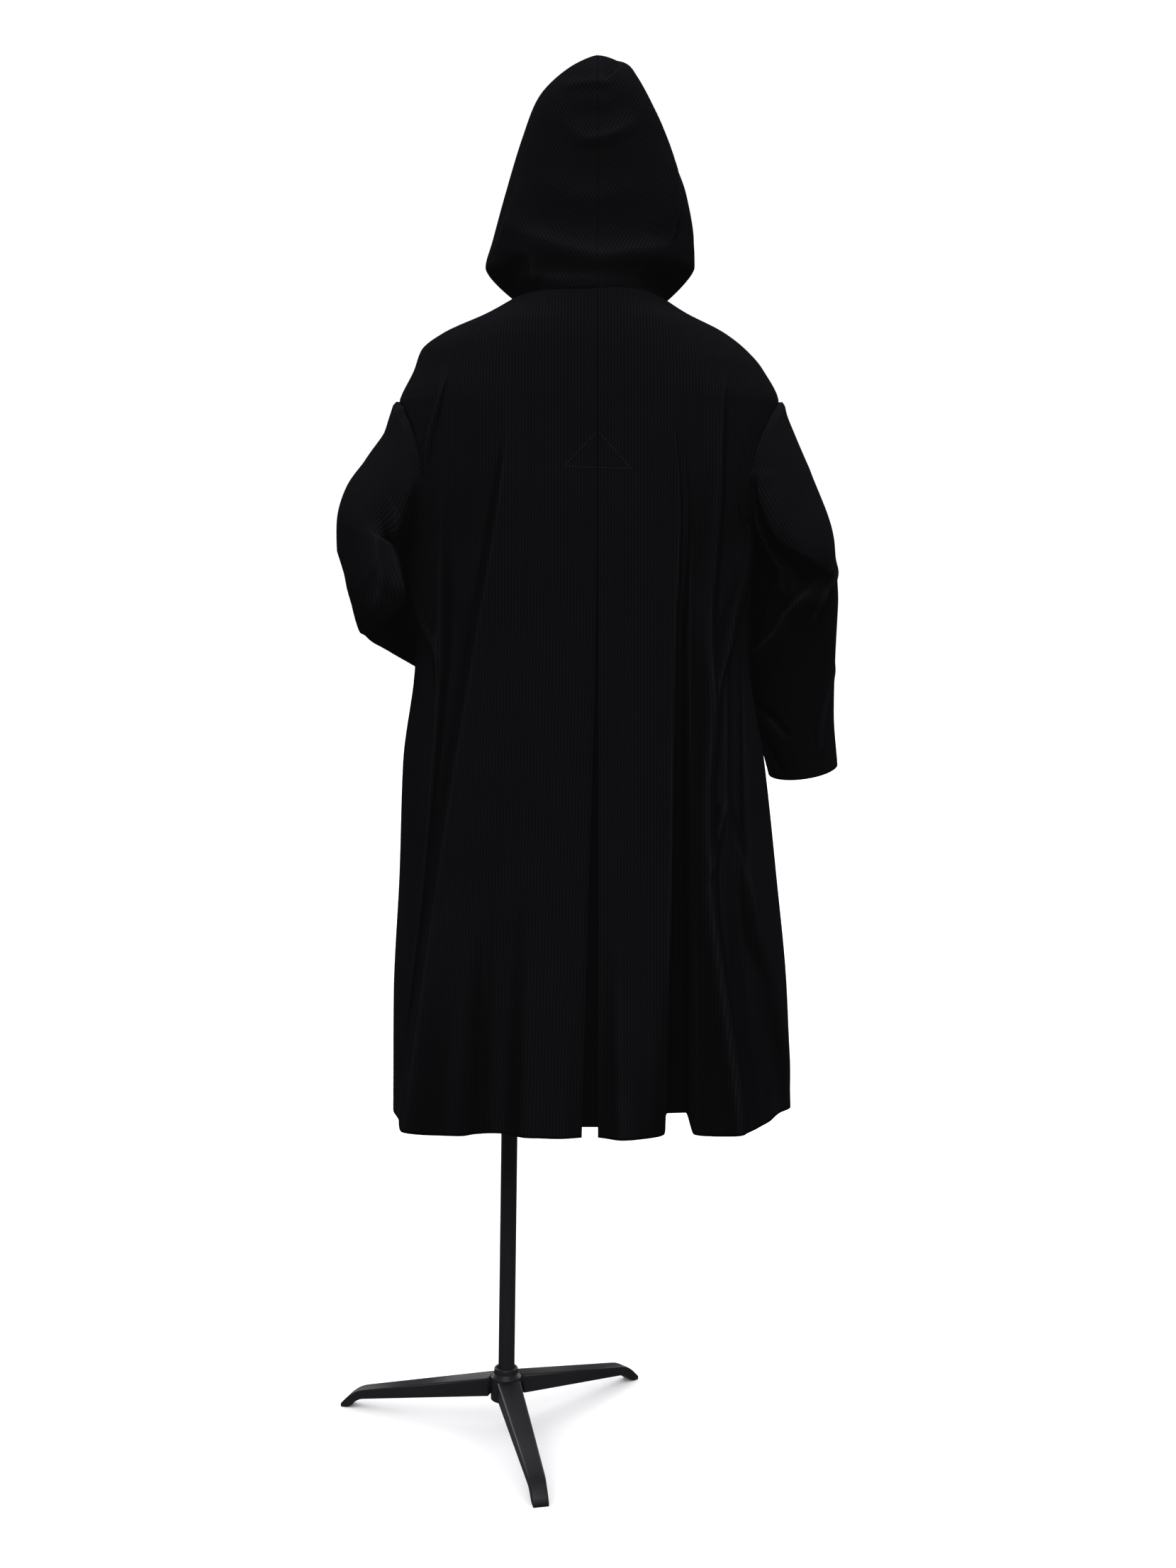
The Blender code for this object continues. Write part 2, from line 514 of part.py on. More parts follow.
def sleeve_grid(sections, folds, side, rows):
    """A sleeve as rings along a curved middle line: ovals square to the line, and towards the
    armhole the armhole's own loop, carried along. The folds move points away from the line."""
    table = np.array(sections)
    length = np.concatenate([[0], np.cumsum(np.linalg.norm(np.diff(table[:, :3], axis=0), axis=1))])
    at = np.linspace(0, length[-1], rows + 1)
    line = glide(length, table, at)
    middle = line[:, :3]
    loop = armhole_loop(side)
    centre = loop.mean(axis=0)
    inward = centre - loop
    loop = loop + SLEEVE_GAP * inward / np.linalg.norm(inward, axis=1, keepdims=True)
    ahead = np.gradient(middle, axis=0)
    ahead /= np.linalg.norm(ahead, axis=1, keepdims=True)
    back = np.array([0.0, 1.0, 0.0])
    turn = 2 * np.pi * np.arange(len(loop)) / len(loop)
    grid = np.empty((rows + 1, len(loop), 3))
    for i in range(rows + 1):
        back = back - ahead[i] * np.dot(back, ahead[i])
        back /= np.linalg.norm(back)
        out = np.cross(ahead[i], back) * side
        oval = (
            middle[i]
            + line[i, 3] * np.cos(turn)[:, None] * out
            + line[i, 4] * np.sin(turn)[:, None] * back
        )
        left = line[i, 5]
        grid[i] = left * (loop - centre + middle[i]) + (1 - left) * oval
    grid[0] = loop
    inside = np.broadcast_to(middle[:, None, :], grid.shape)
    girth = np.pi * (line[:, 3].mean() + line[:, 4].mean())
    relief = sleeve_relief(folds, at / length[-1], np.degrees(turn), length[-1], girth)
    away = grid - inside
    away /= np.linalg.norm(away, axis=-1, keepdims=True)
    return grid + away * relief[..., None], inside


def make_sleeves(root, collection):
    for name, sections, folds, side in (
        ("sleeve_left", SLEEVE_LEFT, SLEEVE_LEFT_FOLDS, 1),
        ("sleeve_right", SLEEVE_RIGHT, SLEEVE_RIGHT_FOLDS, -1),
    ):
        points, inside = sleeve_grid(sections, folds, side, SLEEVE_ROWS)
        mesh = grid_mesh(name, points, inside, wrap=True)
        thicken(place(name, mesh, CORDUROY, root, collection), WALL)


def hood_grid(side, rows, columns):
    """Half of the hood: level sections from the neck seam to the crown, each from the centre seam
    round to the face opening. The last sections shrink onto the seam, so the crown is a dome."""
    table = np.array(HOOD_RINGS)
    last = len(HOOD_RINGS) - 1
    climb = np.linspace(0, last, rows + 1)
    values = glide(np.arange(last + 1), table, climb).T[:, :, None]
    ring = HoodRing(*values)
    share = np.concatenate([[0, LEAD / columns], np.arange(1, columns + 1) / columns])
    points = on_ring(ring, side * np.radians(ring.edge) * share)
    points[..., 0] += side * HOOD_SEAM / 2
    points[0, :, 2] += HOOD_SEAM
    return points


def make_hood(root, collection):
    for name, side in (("hood_left", 1), ("hood_right", -1)):
        points = hood_grid(side, HOOD_ROWS, HOOD_COLUMNS)
        mesh = grid_mesh(name, points, np.array(HOOD_INSIDE))
        thicken(place(name, mesh, CORDUROY, root, collection), WALL)


def make_form(root, collection):
    """The limbless dress form: a neck, shoulders that follow the inside of the coat, a torso."""
    turn = 2 * np.pi * np.arange(FORM_COLUMNS) / FORM_COLUMNS
    heights = np.array(FORM_SHOULDER_HEIGHTS)
    shoulder = on_ring(body_rows(heights), turn)
    clear = WALL + FORM_CLEAR + FORM_FRONT_CLEAR * ease(-FORM_FRONT_SPREAD * np.cos(turn))
    shoulder -= outward(shoulder, axis_inside(shoulder), wrap=True) * clear[:, None]
    parts = []
    for rows in (FORM_NECK, FORM_TORSO):
        t = np.array(rows).T[:, :, None]
        ring = Ring(t[0], t[0], *t[1:])
        parts.append(on_ring(ring, turn))
    points = np.concatenate([parts[0], shoulder, parts[1]])
    mesh = grid_mesh("dress_form", points, axis_inside(points), wrap=True, cap_first=True)
    thicken(place("dress_form", mesh, FORM_SHELL, root, collection), FORM_WALL)
    outline = points[-1] - np.array([0.0, 0.0, SEAM])
    mesh = bpy.data.meshes.new("form_base")
    mesh.from_pydata(outline.tolist(), [], [list(range(FORM_COLUMNS))])
    if mesh.polygons[0].normal.z < 0:
        mesh.flip_normals()
    thicken(place("form_base", mesh, FORM_SHELL, root, collection), FORM_PLATE)


def turned_profile(name, profile, root, collection):
    """A closed outline of radius and height turned about the pole's axis."""
    mesh = bpy.data.meshes.new(name)
    count = len(profile)
    edges = [(i, (i + 1) % count) for i in range(count)]
    mesh.from_pydata([(r, 0.0, z) for r, z in profile], edges, [])
    obj = place(name, mesh, STAND_METAL, root, collection)
    screw = obj.modifiers.new("turn", "SCREW")
    screw.axis = "Z"
    screw.steps = screw.render_steps = ROUND_STEPS
    screw.use_merge_vertices = True
    screw.merge_threshold = 0.0001
    screw.use_smooth_shade = True
    obj.location = (POLE_X, POLE_Y, 0.0)
    return obj


def make_leg(name, bearing, root, collection):
    """A tapered bar from the hub, with a toe turned down to the floor."""
    mesh = bpy.data.meshes.new(name)
    shape = bmesh.new()
    loops = []
    for s in LEG:
        w = s.half_width
        corners = ((w, s.top), (-w, s.top), (-w, s.low), (w, s.low))
        loops.append([shape.verts.new((s.reach, across, z)) for across, z in corners])
    for near, far in zip(loops, loops[1:]):
        for i in range(4):
            shape.faces.new((near[i], near[(i + 1) % 4], far[(i + 1) % 4], far[i]))
    shape.faces.new(loops[0])
    shape.faces.new(loops[-1])
    bmesh.ops.recalc_face_normals(shape, faces=shape.faces)
    shape.to_mesh(mesh)
    shape.free()
    obj = place(name, mesh, STAND_METAL, root, collection)
    edge = obj.modifiers.new("rounded edges", "BEVEL")
    edge.width = LEG_EDGE
    edge.segments = 2
    obj.location = (POLE_X, POLE_Y, 0.0)
    obj.rotation_euler = (0.0, 0.0, math.radians(bearing))


def make_stand(root, collection):
    bore = POLE_RADIUS + POLE_PLAY
    turned_profile(
        "hub",
        (
            (COLLAR_RADIUS - COLLAR_CHAMFER, HUB_TOP_Z),
            (COLLAR_RADIUS, HUB_TOP_Z - COLLAR_CHAMFER),
            (COLLAR_RADIUS, HUB_SHOULDER_Z + COLLAR_FOOT),
            (HUB_RADIUS - HUB_CHAMFER, HUB_SHOULDER_Z),
            (HUB_RADIUS, HUB_SHOULDER_Z - HUB_CHAMFER),
            (HUB_RADIUS, HUB_LOW_Z),
            (bore, HUB_LOW_Z),
            (bore, HUB_TOP_Z),
        ),
        root,
        collection,
    )
    tilted_rim = POLE_RADIUS * math.sin(math.radians(abs(POLE_LEAN)))
    top = FORM_BOTTOM_Z - SEAM - FORM_PLATE - SEAM - tilted_rim
    mesh = bpy.data.meshes.new("pole")
    shape = bmesh.new()
    bmesh.ops.create_cone(
        shape,
        cap_ends=True,
        segments=ROUND_STEPS,
        radius1=POLE_RADIUS,
        radius2=POLE_RADIUS,
        depth=top - POLE_FOOT_Z,
    )
    shape.to_mesh(mesh)
    shape.free()
    pole = place("pole", mesh, STAND_METAL, root, collection)
    half = (top - POLE_FOOT_Z) / 2
    lean = math.radians(POLE_LEAN)
    pole.rotation_euler = (0.0, lean, 0.0)
    pole.location = (POLE_X + math.sin(lean) * half, POLE_Y, POLE_FOOT_Z + half)
    for i, name in enumerate(("leg_left", "leg_back", "leg_right")):
        make_leg(name, LEG_BEARING + 120.0 * i, root, collection)


def centre_footprint(root, collection):
    """Puts the middle of the whole part's outline over the origin."""
    bpy.context.view_layer.update()
    graph = bpy.context.evaluated_depsgraph_get()
    corners = []
    for obj in collection.objects:
        if obj.type == "MESH":
            seen = obj.evaluated_get(graph)
            corners += [(seen.matrix_world @ v.co)[:] for v in seen.data.vertices]
    corners = np.array(corners)
    low, high = corners.min(axis=0), corners.max(axis=0)
    root.location = (-(low[0] + high[0]) / 2, -(low[1] + high[1]) / 2, -low[2])


def main():
    for obj in list(bpy.data.objects):
        bpy.data.objects.remove(obj, do_unlink=True)
    collection = bpy.data.collections.new("hooded_coat_on_dress_form")
    bpy.context.scene.collection.children.link(collection)
    root = bpy.data.objects.new("coat_root", None)
    collection.objects.link(root)
    panels = make_body(root, collection)
    make_pockets(panels, root, collection)
    make_underlay(root, collection)
    make_sleeves(root, collection)
    make_hood(root, collection)
    make_form(root, collection)
    make_stand(root, collection)
    centre_footprint(root, collection)


main()
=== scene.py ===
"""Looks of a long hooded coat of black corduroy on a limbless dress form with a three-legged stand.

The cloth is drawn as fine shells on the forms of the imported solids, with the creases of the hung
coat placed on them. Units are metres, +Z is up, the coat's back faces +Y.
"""

import math
from collections import namedtuple

import bpy
import numpy as np
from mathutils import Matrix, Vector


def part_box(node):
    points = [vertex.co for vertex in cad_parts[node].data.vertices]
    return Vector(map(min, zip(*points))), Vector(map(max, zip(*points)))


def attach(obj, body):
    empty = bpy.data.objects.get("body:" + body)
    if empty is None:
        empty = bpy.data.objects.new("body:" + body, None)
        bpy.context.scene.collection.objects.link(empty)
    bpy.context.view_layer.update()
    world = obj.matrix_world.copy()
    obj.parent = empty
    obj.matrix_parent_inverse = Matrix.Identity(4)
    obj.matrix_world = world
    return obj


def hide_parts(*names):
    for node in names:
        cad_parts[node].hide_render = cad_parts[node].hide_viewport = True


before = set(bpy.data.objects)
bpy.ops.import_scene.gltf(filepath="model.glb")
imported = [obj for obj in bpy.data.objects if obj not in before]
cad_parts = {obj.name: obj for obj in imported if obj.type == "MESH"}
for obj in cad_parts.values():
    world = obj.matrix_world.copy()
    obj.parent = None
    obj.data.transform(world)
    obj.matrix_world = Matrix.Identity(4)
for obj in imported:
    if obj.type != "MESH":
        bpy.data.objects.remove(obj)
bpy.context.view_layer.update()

bl_info = {
    "name": "Hooded corduroy coat",
    "version": (1, 0, 0),
    "blender": (4, 5, 0),
    "location": "3D View > Sidebar > Coat",
    "description": "Draws a hooded corduroy coat on a dress form stand",
    "category": "Object",
}

# Cloth
SEAM = 0.0003  # gap between two pieces at a seam
SLEEVE_GAP = 0.0006
SLEEVE_WALES_LEAN = 26.0  # degrees from the upright at which the wales of a sleeve's head run
SLEEVE_WALES_FROM = 0.34  # share of the sleeve's length from which its wales follow its line
SLEEVE_TUCK = 0.0070  # how far the sleeve's edge goes in under the armhole
SLEEVE_TUCK_DEEP = 0.0005
SLEEVE_TUCK_WIDTH = 0.0024
HOOD_ROLL = 0.0005  # how far the centre seam of the hood lies in
NECK_TUCK = 0.0060  # how far the hood goes down inside the neck edge
NECK_TUCK_WIDTH = 0.0035
SEAM_ROLL = 0.0006  # how far a sewn edge turns in
SEAM_ROLL_WIDTH = 0.0028
CENTRE_ROLL = 0.00015  # the same, at the centre back seam
FOLD_RADIUS = 0.008  # a bend as tight as this gets the full painted highlight on a crest or painted shade in a valley
FOLD_WIDE = 0.15  # bends this share as tight get none of it
WALL_FROM = 9.0  # degrees by which a fold turns the cloth before its wall gets painted shade
WALL_FULL = 27.0  # degrees at which that painted shade is full
WALL_SHADE = 0.9  # how dark the painted shade then is, as a share of that in a sharp valley
PLEAT_ROLL = 0.0010  # how far the folded edge of the pleat turns in
PLEAT_ROLL_WIDTH = 0.0022
LINE_REACH = 0.995  # share of the half width within which the fold lines stay

# Heights on the body, measured at the side
NECK_Z = 1.543
YOKE_Z = 1.400
BLADE_Z = 1.250
WAIST_Z = 1.080
HIP_Z = 0.780
HEM_Z = 0.458
ARMHOLE_TOP_Z = 1.412
ARMHOLE_LOW_Z = 1.205
PLEAT_TOP_Z = 1.300
TRIANGLE_BASE_Z = 1.313
POCKET_TOP_Z = 0.930
POCKET_LOW_Z = 0.700
LINE_HEIGHTS = (YOKE_Z, BLADE_Z, WAIST_Z, HIP_Z, HEM_Z)

# Mesh steps
SHOULDER_STEPS = 36
ARMHOLE_STEPS = 80
SKIRT_STEPS = 160
SLEEVE_STEPS = 160
HOOD_ROWS = 130
HOOD_COLUMNS = 100
UNDERLAY_ROWS = 180
UNDERLAY_COLUMNS = 28
CREASE_STEPS = 32  # straight pieces in which a crease's line is followed

# Armholes: how far, in degrees, the panels stop short of the side
ARMHOLE_BACK = 36.0
ARMHOLE_FRONT = 40.0
ARMHOLE_SPACING = (1.5, 4.0, 7.0)  # least angles that the last fold lines keep from the edge

# Fronts lap at the centre, the wearer's left over the right
LAP = 0.030
LAP_DROP = 0.0029
LAP_RAMP = 0.045

# Underlay of the back pleat
UNDERLAY_FLANGE = 0.028
UNDERLAY_BEHIND = 0.0023
UNDERLAY_SLOPE = 0.36
UNDERLAY_GROWTH = 1.4
UNDERLAY_DEPTH_TOP = 0.003
UNDERLAY_DEPTH_HEM = 0.048

# Pockets lie on the fronts
POCKET_LIFT = 0.0023
POCKET_EDGE = 0.12  # share of the last column step left free at the side seam
POCKET_STITCH_IN = 0.006
POCKET_MOUTH = 4 * POCKET_STITCH_IN  # depth of the hem at its mouth

# Stitches: thread of 0.5 mm, drawn thicker because it would be too fine to show
STITCH_PITCH = 0.0048
STITCH_LENGTH = 0.0032
STITCH_WIDTH = 0.0011
STITCH_LIFT = 0.0001
STITCH_SIDES = 6  # points round a stitch, and rings along it
STITCH_TIP = 0.94  # share of a spindle's half length at which its ends are cut

# The stitched triangle above the pleat: its top, its feet on the two backs as distance from the
# centre and height, and how near it comes to the centre seam
TRIANGLE_TOP_Z = 1.357
TRIANGLE_FEET = {"back_left": (0.043, 1.314), "back_right": (0.042, 1.312)}
TRIANGLE_NEAR = 0.002
TRIANGLE_STEPS = 40
STITCH_BLEND = 0.0002  # distance below which grid points count alike for a stitch's place

# Dress form
FORM_CLEAR = 0.0042
FORM_FRONT_CLEAR = 0.008
FORM_FRONT_SPREAD = 1.5
FORM_BOTTOM_Z = 0.880
FORM_COLUMNS = 112
FORM_ROWS = 110
FORM_WALL = 0.004

# Stand
POLE_X = 0.1265
POLE_Y = 0.0
POLE_LEAN = -0.90
POLE_RADIUS = 0.0113
POLE_PLAY = 0.0008
POLE_FOOT_Z = 0.046
POLE_TOP_Z = 0.8692
POLE_CAP = 0.004  # radius left flat at its ends
POLE_EDGE = 0.001
HUB_RADIUS = 0.0215
HUB_LOW_Z = 0.040
HUB_SHOULDER_Z = 0.074
HUB_TOP_Z = 0.085
HUB_CHAMFER = 0.002
HUB_EDGE = 0.0008
COLLAR_RADIUS = 0.0165
COLLAR_CHAMFER = 0.0015
COLLAR_FOOT = 0.003
LEG_BEARING = 342.8
LEG_CORNER = 0.24  # rounding of a leg's edges, as a share of its half size
LEG_APART = 120.0
TURN_STEPS = 72
CORNER_SHARE = 0.45  # most that a rounded corner takes of the lines beside it
WELD = 0.00001

# Picture: the camera's place is measured from the centre back of the coat
PICTURE_HEIGHT = 2212
FOCAL_PIXELS = 2604.28
CAMERA_X = 0.01219
CAMERA_Y = 2.5
CAMERA_Z = 1.10445
CAMERA_PITCH = 4.669
SENSOR = 36.0
FLOOR_REACH = 40.0
FLOOR_POINTS = 9
STUDIO_LOW = -0.5  # slope of the view at which the studio's light from below is full
STUDIO_HIGH = 0.8  # the same for its light from above

# Lamps: the setting that holds the strength, the height above the level and the angle to the left
# of the camera in degrees, and the starts of the names of the pieces that a lamp lights alone
# (INCLUDE) or leaves out (EXCLUDE)
Lamp = namedtuple("Lamp", "name strength height side state pieces")
LAMPS = (
    Lamp("floor_light", "floor_light", 90, 0, "INCLUDE", ("floor",)),
    Lamp("key_light", "key_light", 42, 0, "EXCLUDE", ("floor",)),
    Lamp("top_light", "top_light", 77, 0, "EXCLUDE", ("floor", "stand_")),
    Lamp("front_left_light", "front_light", 25, 145, "EXCLUDE", ("floor",)),
    Lamp("front_right_light", "front_light", 25, -145, "EXCLUDE", ("floor",)),
    Lamp("stand_light", "stand_light", 55, 0, "INCLUDE", ("stand_",)),
)
LAMP_PLACE = (0.0, 2.0, 4.0)

# Level sections of the body, from the neck seam down. z is given at the back, side and front,
# left and right are half widths, back and front are the Y reached, middle the Y of the widest line.
Ring = namedtuple("Ring", "back_z side_z front_z left right back front middle power")
BODY_RINGS = (
    Ring(1.545, 1.543, 1.452, 0.107, 0.084, 0.115, -0.066, 0.026, 2.0),
    Ring(1.522, 1.522, 1.440, 0.149, 0.120, 0.1205, -0.080, 0.020, 1.9),
    Ring(1.500, 1.498, 1.428, 0.206, 0.170, 0.1255, -0.090, 0.014, 1.9),
    Ring(1.478, 1.478, 1.414, 0.233, 0.197, 0.1290, -0.097, 0.010, 2.0),
    Ring(1.450, 1.452, 1.396, 0.243, 0.220, 0.1315, -0.103, 0.006, 2.2),
    Ring(1.400, 1.405, 1.365, 0.264, 0.242, 0.136, -0.110, 0.003, 2.4),
    Ring(1.312, 1.312, 1.300, 0.271, 0.236, 0.142, -0.118, 0.000, 2.5),
    Ring(1.215, 1.215, 1.210, 0.254, 0.212, 0.146, -0.122, 0.000, 2.5),
    Ring(1.080, 1.080, 1.080, 0.244, 0.204, 0.150, -0.128, 0.000, 2.5),
    Ring(0.930, 0.930, 0.930, 0.262, 0.226, 0.155, -0.136, 0.000, 2.5),
    Ring(0.780, 0.780, 0.780, 0.268, 0.243, 0.160, -0.144, 0.000, 2.5),
    Ring(0.620, 0.620, 0.620, 0.277, 0.259, 0.166, -0.152, 0.000, 2.5),
    Ring(0.458, 0.458, 0.458, 0.279, 0.266, 0.172, -0.160, 0.000, 2.5),
)

# Fold lines down a panel, from its centre edge to its side. x_* is the distance from the centre at
# five heights, out_* how far the line stands out from the level section at the lower four.
Line = namedtuple(
    "Line", "name x_yoke x_blade x_waist x_hip x_hem out_blade out_waist out_hip out_hem"
)
BACK_LEFT_LINES = (
    Line("pleat edge", 0.000, 0.000, 0.002, 0.0105, 0.020, 0, 0, 0, 0),
    Line("panel swell", 0.045, 0.045, 0.048, 0.060, 0.062, 0.001, 0.002, 0.004, 0.006),
    Line("hollow", 0.075, 0.080, 0.094, 0.113, 0.126, 0, 0, -0.002, -0.010),
    Line("step low", 0.086, 0.092, 0.110, 0.138, 0.156, 0.0018, 0.0026, 0.002, 0.000),
    Line("step high", 0.092, 0.100, 0.122, 0.153, 0.174, 0.0030, 0.0046, 0.005, 0.016),
    Line("hem wave", 0.099, 0.112, 0.137, 0.174, 0.200, 0.0048, 0.0070, 0.009, 0.026),
    Line("long ridge", 0.107, 0.127, 0.157, 0.207, 0.254, 0.0055, 0.0090, 0.015, 0.054),
    Line("ridge foot", 0.122, 0.142, 0.171, 0.2155, 0.2655, -0.003, -0.003, 0.001, 0.007),
    Line("shade", 0.160, 0.174, 0.190, 0.2225, 0.270, -0.006, -0.010, -0.007, 0.001),
    Line("side ridge", 0.195, 0.203, 0.206, 0.2295, 0.2735, 0.000, 0.002, -0.002, 0),
    Line("side foot", 0.203, 0.212, 0.215, 0.2365, 0.2755, 0, -0.002, -0.001, 0),
)
BACK_RIGHT_LINES = (
    Line("pleat edge", 0.000, 0.000, 0.000, 0.000, 0.000, 0, 0, 0, 0),
    Line("pleat swell", 0.024, 0.024, 0.026, 0.030, 0.032, 0.001, 0.002, 0.004, 0.015),
    Line("panel middle", 0.058, 0.058, 0.060, 0.058, 0.060, 0.001, 0.002, 0.004, 0.008),
    Line("near crest", 0.092, 0.103, 0.098, 0.094, 0.086, 0.001, 0.004, 0.003, -0.010),
    Line("near wall", 0.098, 0.108, 0.102, 0.100, 0.095, -0.001, -0.026, -0.075, -0.116),
    Line("far wall", 0.106, 0.115, 0.110, 0.116, 0.120, -0.001, -0.026, -0.075, -0.114),
    Line("far crest", 0.114, 0.122, 0.116, 0.122, 0.124, 0.001, 0.000, -0.001, -0.006),
    Line("blade ridge", 0.155, 0.151, 0.143, 0.146, 0.182, 0.006, 0.009, 0.012, 0.022),
    Line("ridge foot", 0.166, 0.163, 0.151, 0.155, 0.194, 0.000, 0.000, 0.004, 0.016),
    Line("underarm fold", 0.190, 0.197, 0.166, 0.165, 0.206, 0.001, 0.006, 0.002, 0.006),
    Line("fold foot", 0.197, 0.2025, 0.174, 0.174, 0.216, 0.000, -0.003, -0.002, -0.004),
    Line("hollow", 0.204, 0.206, 0.184, 0.186, 0.228, 0, -0.005, -0.006, -0.014),
    Line("side ridge", 0.212, 0.209, 0.194, 0.204, 0.248, 0, 0, 0.003, -0.036),
)
FRONT_LEFT_LINES = (
    Line("lap edge", -LAP, -LAP, -LAP, -LAP, -LAP, 0, 0, 0, 0),
    Line("centre", 0.030, 0.032, 0.034, 0.036, 0.038, 0, 0, 0, 0),
    Line("near fold", 0.070, 0.075, 0.078, 0.085, 0.092, 0.002, 0.004, 0.008, 0.014),
    Line("hollow", 0.100, 0.108, 0.115, 0.126, 0.135, -0.002, -0.004, -0.004, -0.012),
    Line("far fold", 0.140, 0.150, 0.160, 0.172, 0.184, 0.002, 0.006, 0.006, 0.012),
    Line("turn", 0.185, 0.190, 0.195, 0.216, 0.228, 0, 0, 0, 0.004),
)
FRONT_RIGHT_LINES = (
    Line("lap edge", -LAP, -LAP, -LAP, -LAP, -LAP, 0, 0, 0, 0),
    Line("centre", 0.034, 0.036, 0.036, 0.038, 0.040, 0, 0, 0, 0),
    Line("near fold", 0.068, 0.072, 0.074, 0.080, 0.084, 0.001, 0.003, 0.006, 0.010),
    Line("hollow", 0.095, 0.102, 0.104, 0.114, 0.122, -0.002, -0.003, -0.004, -0.010),
    Line("far fold", 0.128, 0.136, 0.138, 0.152, 0.166, 0.002, 0.004, 0.006, 0.014),
    Line("turn", 0.165, 0.168, 0.165, 0.192, 0.212, 0, 0, 0, 0.002),
)

# Creases. Each has a line of stations (across, up, out): a place on its piece and how far the cloth
# stands out there, and two widths, on the left and on the right of the line as it runs.
# On the body across is the distance from the centre and up the height.
Crease = namedtuple("Crease", "name left right stations")
BACK_LEFT_CREASES = (
    Crease("underarm", 0.012, 0.007, (
        (0.254, 1.228, 0), (0.250, 1.217, 0.004), (0.232, 1.138, 0.007),
        (0.208, 1.078, 0.005), (0.200, 1.030, 0))),
    Crease("armhole pull", 0.006, 0.005, (
        (0.194, 1.450, 0), (0.200, 1.420, 0.003), (0.218, 1.347, 0.004), (0.222, 1.305, 0))),
    Crease("shoulder blade", 0.030, 0.022, (
        (0.070, 1.300, 0), (0.078, 1.200, 0.002), (0.090, 1.000, 0.003), (0.100, 0.800, 0))),
    Crease("pleat side", 0.020, 0.020, (
        (0.020, 1.000, 0), (0.028, 0.820, 0.001), (0.040, 0.600, 0.002), (0.044, 0.458, 0.003))),
    Crease("skirt", 0.016, 0.016, (
        (0.085, 0.860, 0), (0.088, 0.700, 0.003), (0.092, 0.560, 0.006), (0.092, 0.458, 0.008))),
)
BACK_RIGHT_CREASES = (
    Crease("underarm", 0.005, 0.014, (
        (0.207, 1.252, 0), (0.203, 1.235, 0.003), (0.186, 1.154, 0.007),
        (0.154, 1.021, 0.007), (0.151, 0.952, 0.004), (0.150, 0.900, 0))),
    Crease("blade", 0.006, 0.020, (
        (0.162, 1.440, 0), (0.158, 1.400, 0.003), (0.155, 1.330, 0.004), (0.151, 1.236, 0.004),
        (0.144, 1.140, 0))),
    Crease("skirt ridge", 0.006, 0.014, (
        (0.146, 1.160, 0), (0.144, 1.100, 0.002), (0.143, 1.000, 0.004), (0.139, 0.900, 0.005),
        (0.142, 0.786, 0.007), (0.158, 0.649, 0.008), (0.175, 0.540, 0.007), (0.184, 0.474, 0.005),
        (0.186, 0.458, 0.003))),
    Crease("short nick", 0.005, 0.005, (
        (0.163, 0.890, 0), (0.160, 0.873, 0.003), (0.147, 0.808, 0.003), (0.143, 0.790, 0))),
    Crease("hip", 0.007, 0.012, (
        (0.160, 0.900, 0), (0.165, 0.882, 0.003), (0.204, 0.752, 0.005),
        (0.235, 0.627, 0.005), (0.257, 0.522, 0.002), (0.262, 0.480, 0))),
    Crease("shoulder blade", 0.022, 0.030, (
        (0.060, 1.290, 0), (0.064, 1.180, 0.002), (0.066, 1.000, 0.003), (0.066, 0.760, 0))),
)
FRONT_CREASES = (
    Crease("underarm", 0.012, 0.008, (
        (0.240, 1.215, 0), (0.215, 1.150, 0.005), (0.180, 1.060, 0.006), (0.150, 0.960, 0))),
    Crease("chest", 0.012, 0.018, (
        (0.150, 1.400, 0), (0.130, 1.300, 0.003), (0.112, 1.160, 0.004), (0.104, 1.000, 0))),
    Crease("skirt", 0.014, 0.018, (
        (0.060, 0.940, 0), (0.062, 0.800, 0.003), (0.068, 0.620, 0.005), (0.072, 0.458, 0.007))),
)

# The four panels: side is 1 for the wearer's left and -1 for the right, facing 1 for a back and -1
# for a front, steps the mesh columns between two fold lines
Panel = namedtuple("Panel", "lines creases side facing steps")
PANELS = {
    "back_left": Panel(BACK_LEFT_LINES, BACK_LEFT_CREASES, 1, 1, 9),
    "back_right": Panel(BACK_RIGHT_LINES, BACK_RIGHT_CREASES, -1, 1, 9),
    "front_left": Panel(FRONT_LEFT_LINES, FRONT_CREASES, 1, -1, 12),
    "front_right": Panel(FRONT_RIGHT_LINES, FRONT_CREASES, -1, -1, 12),
}

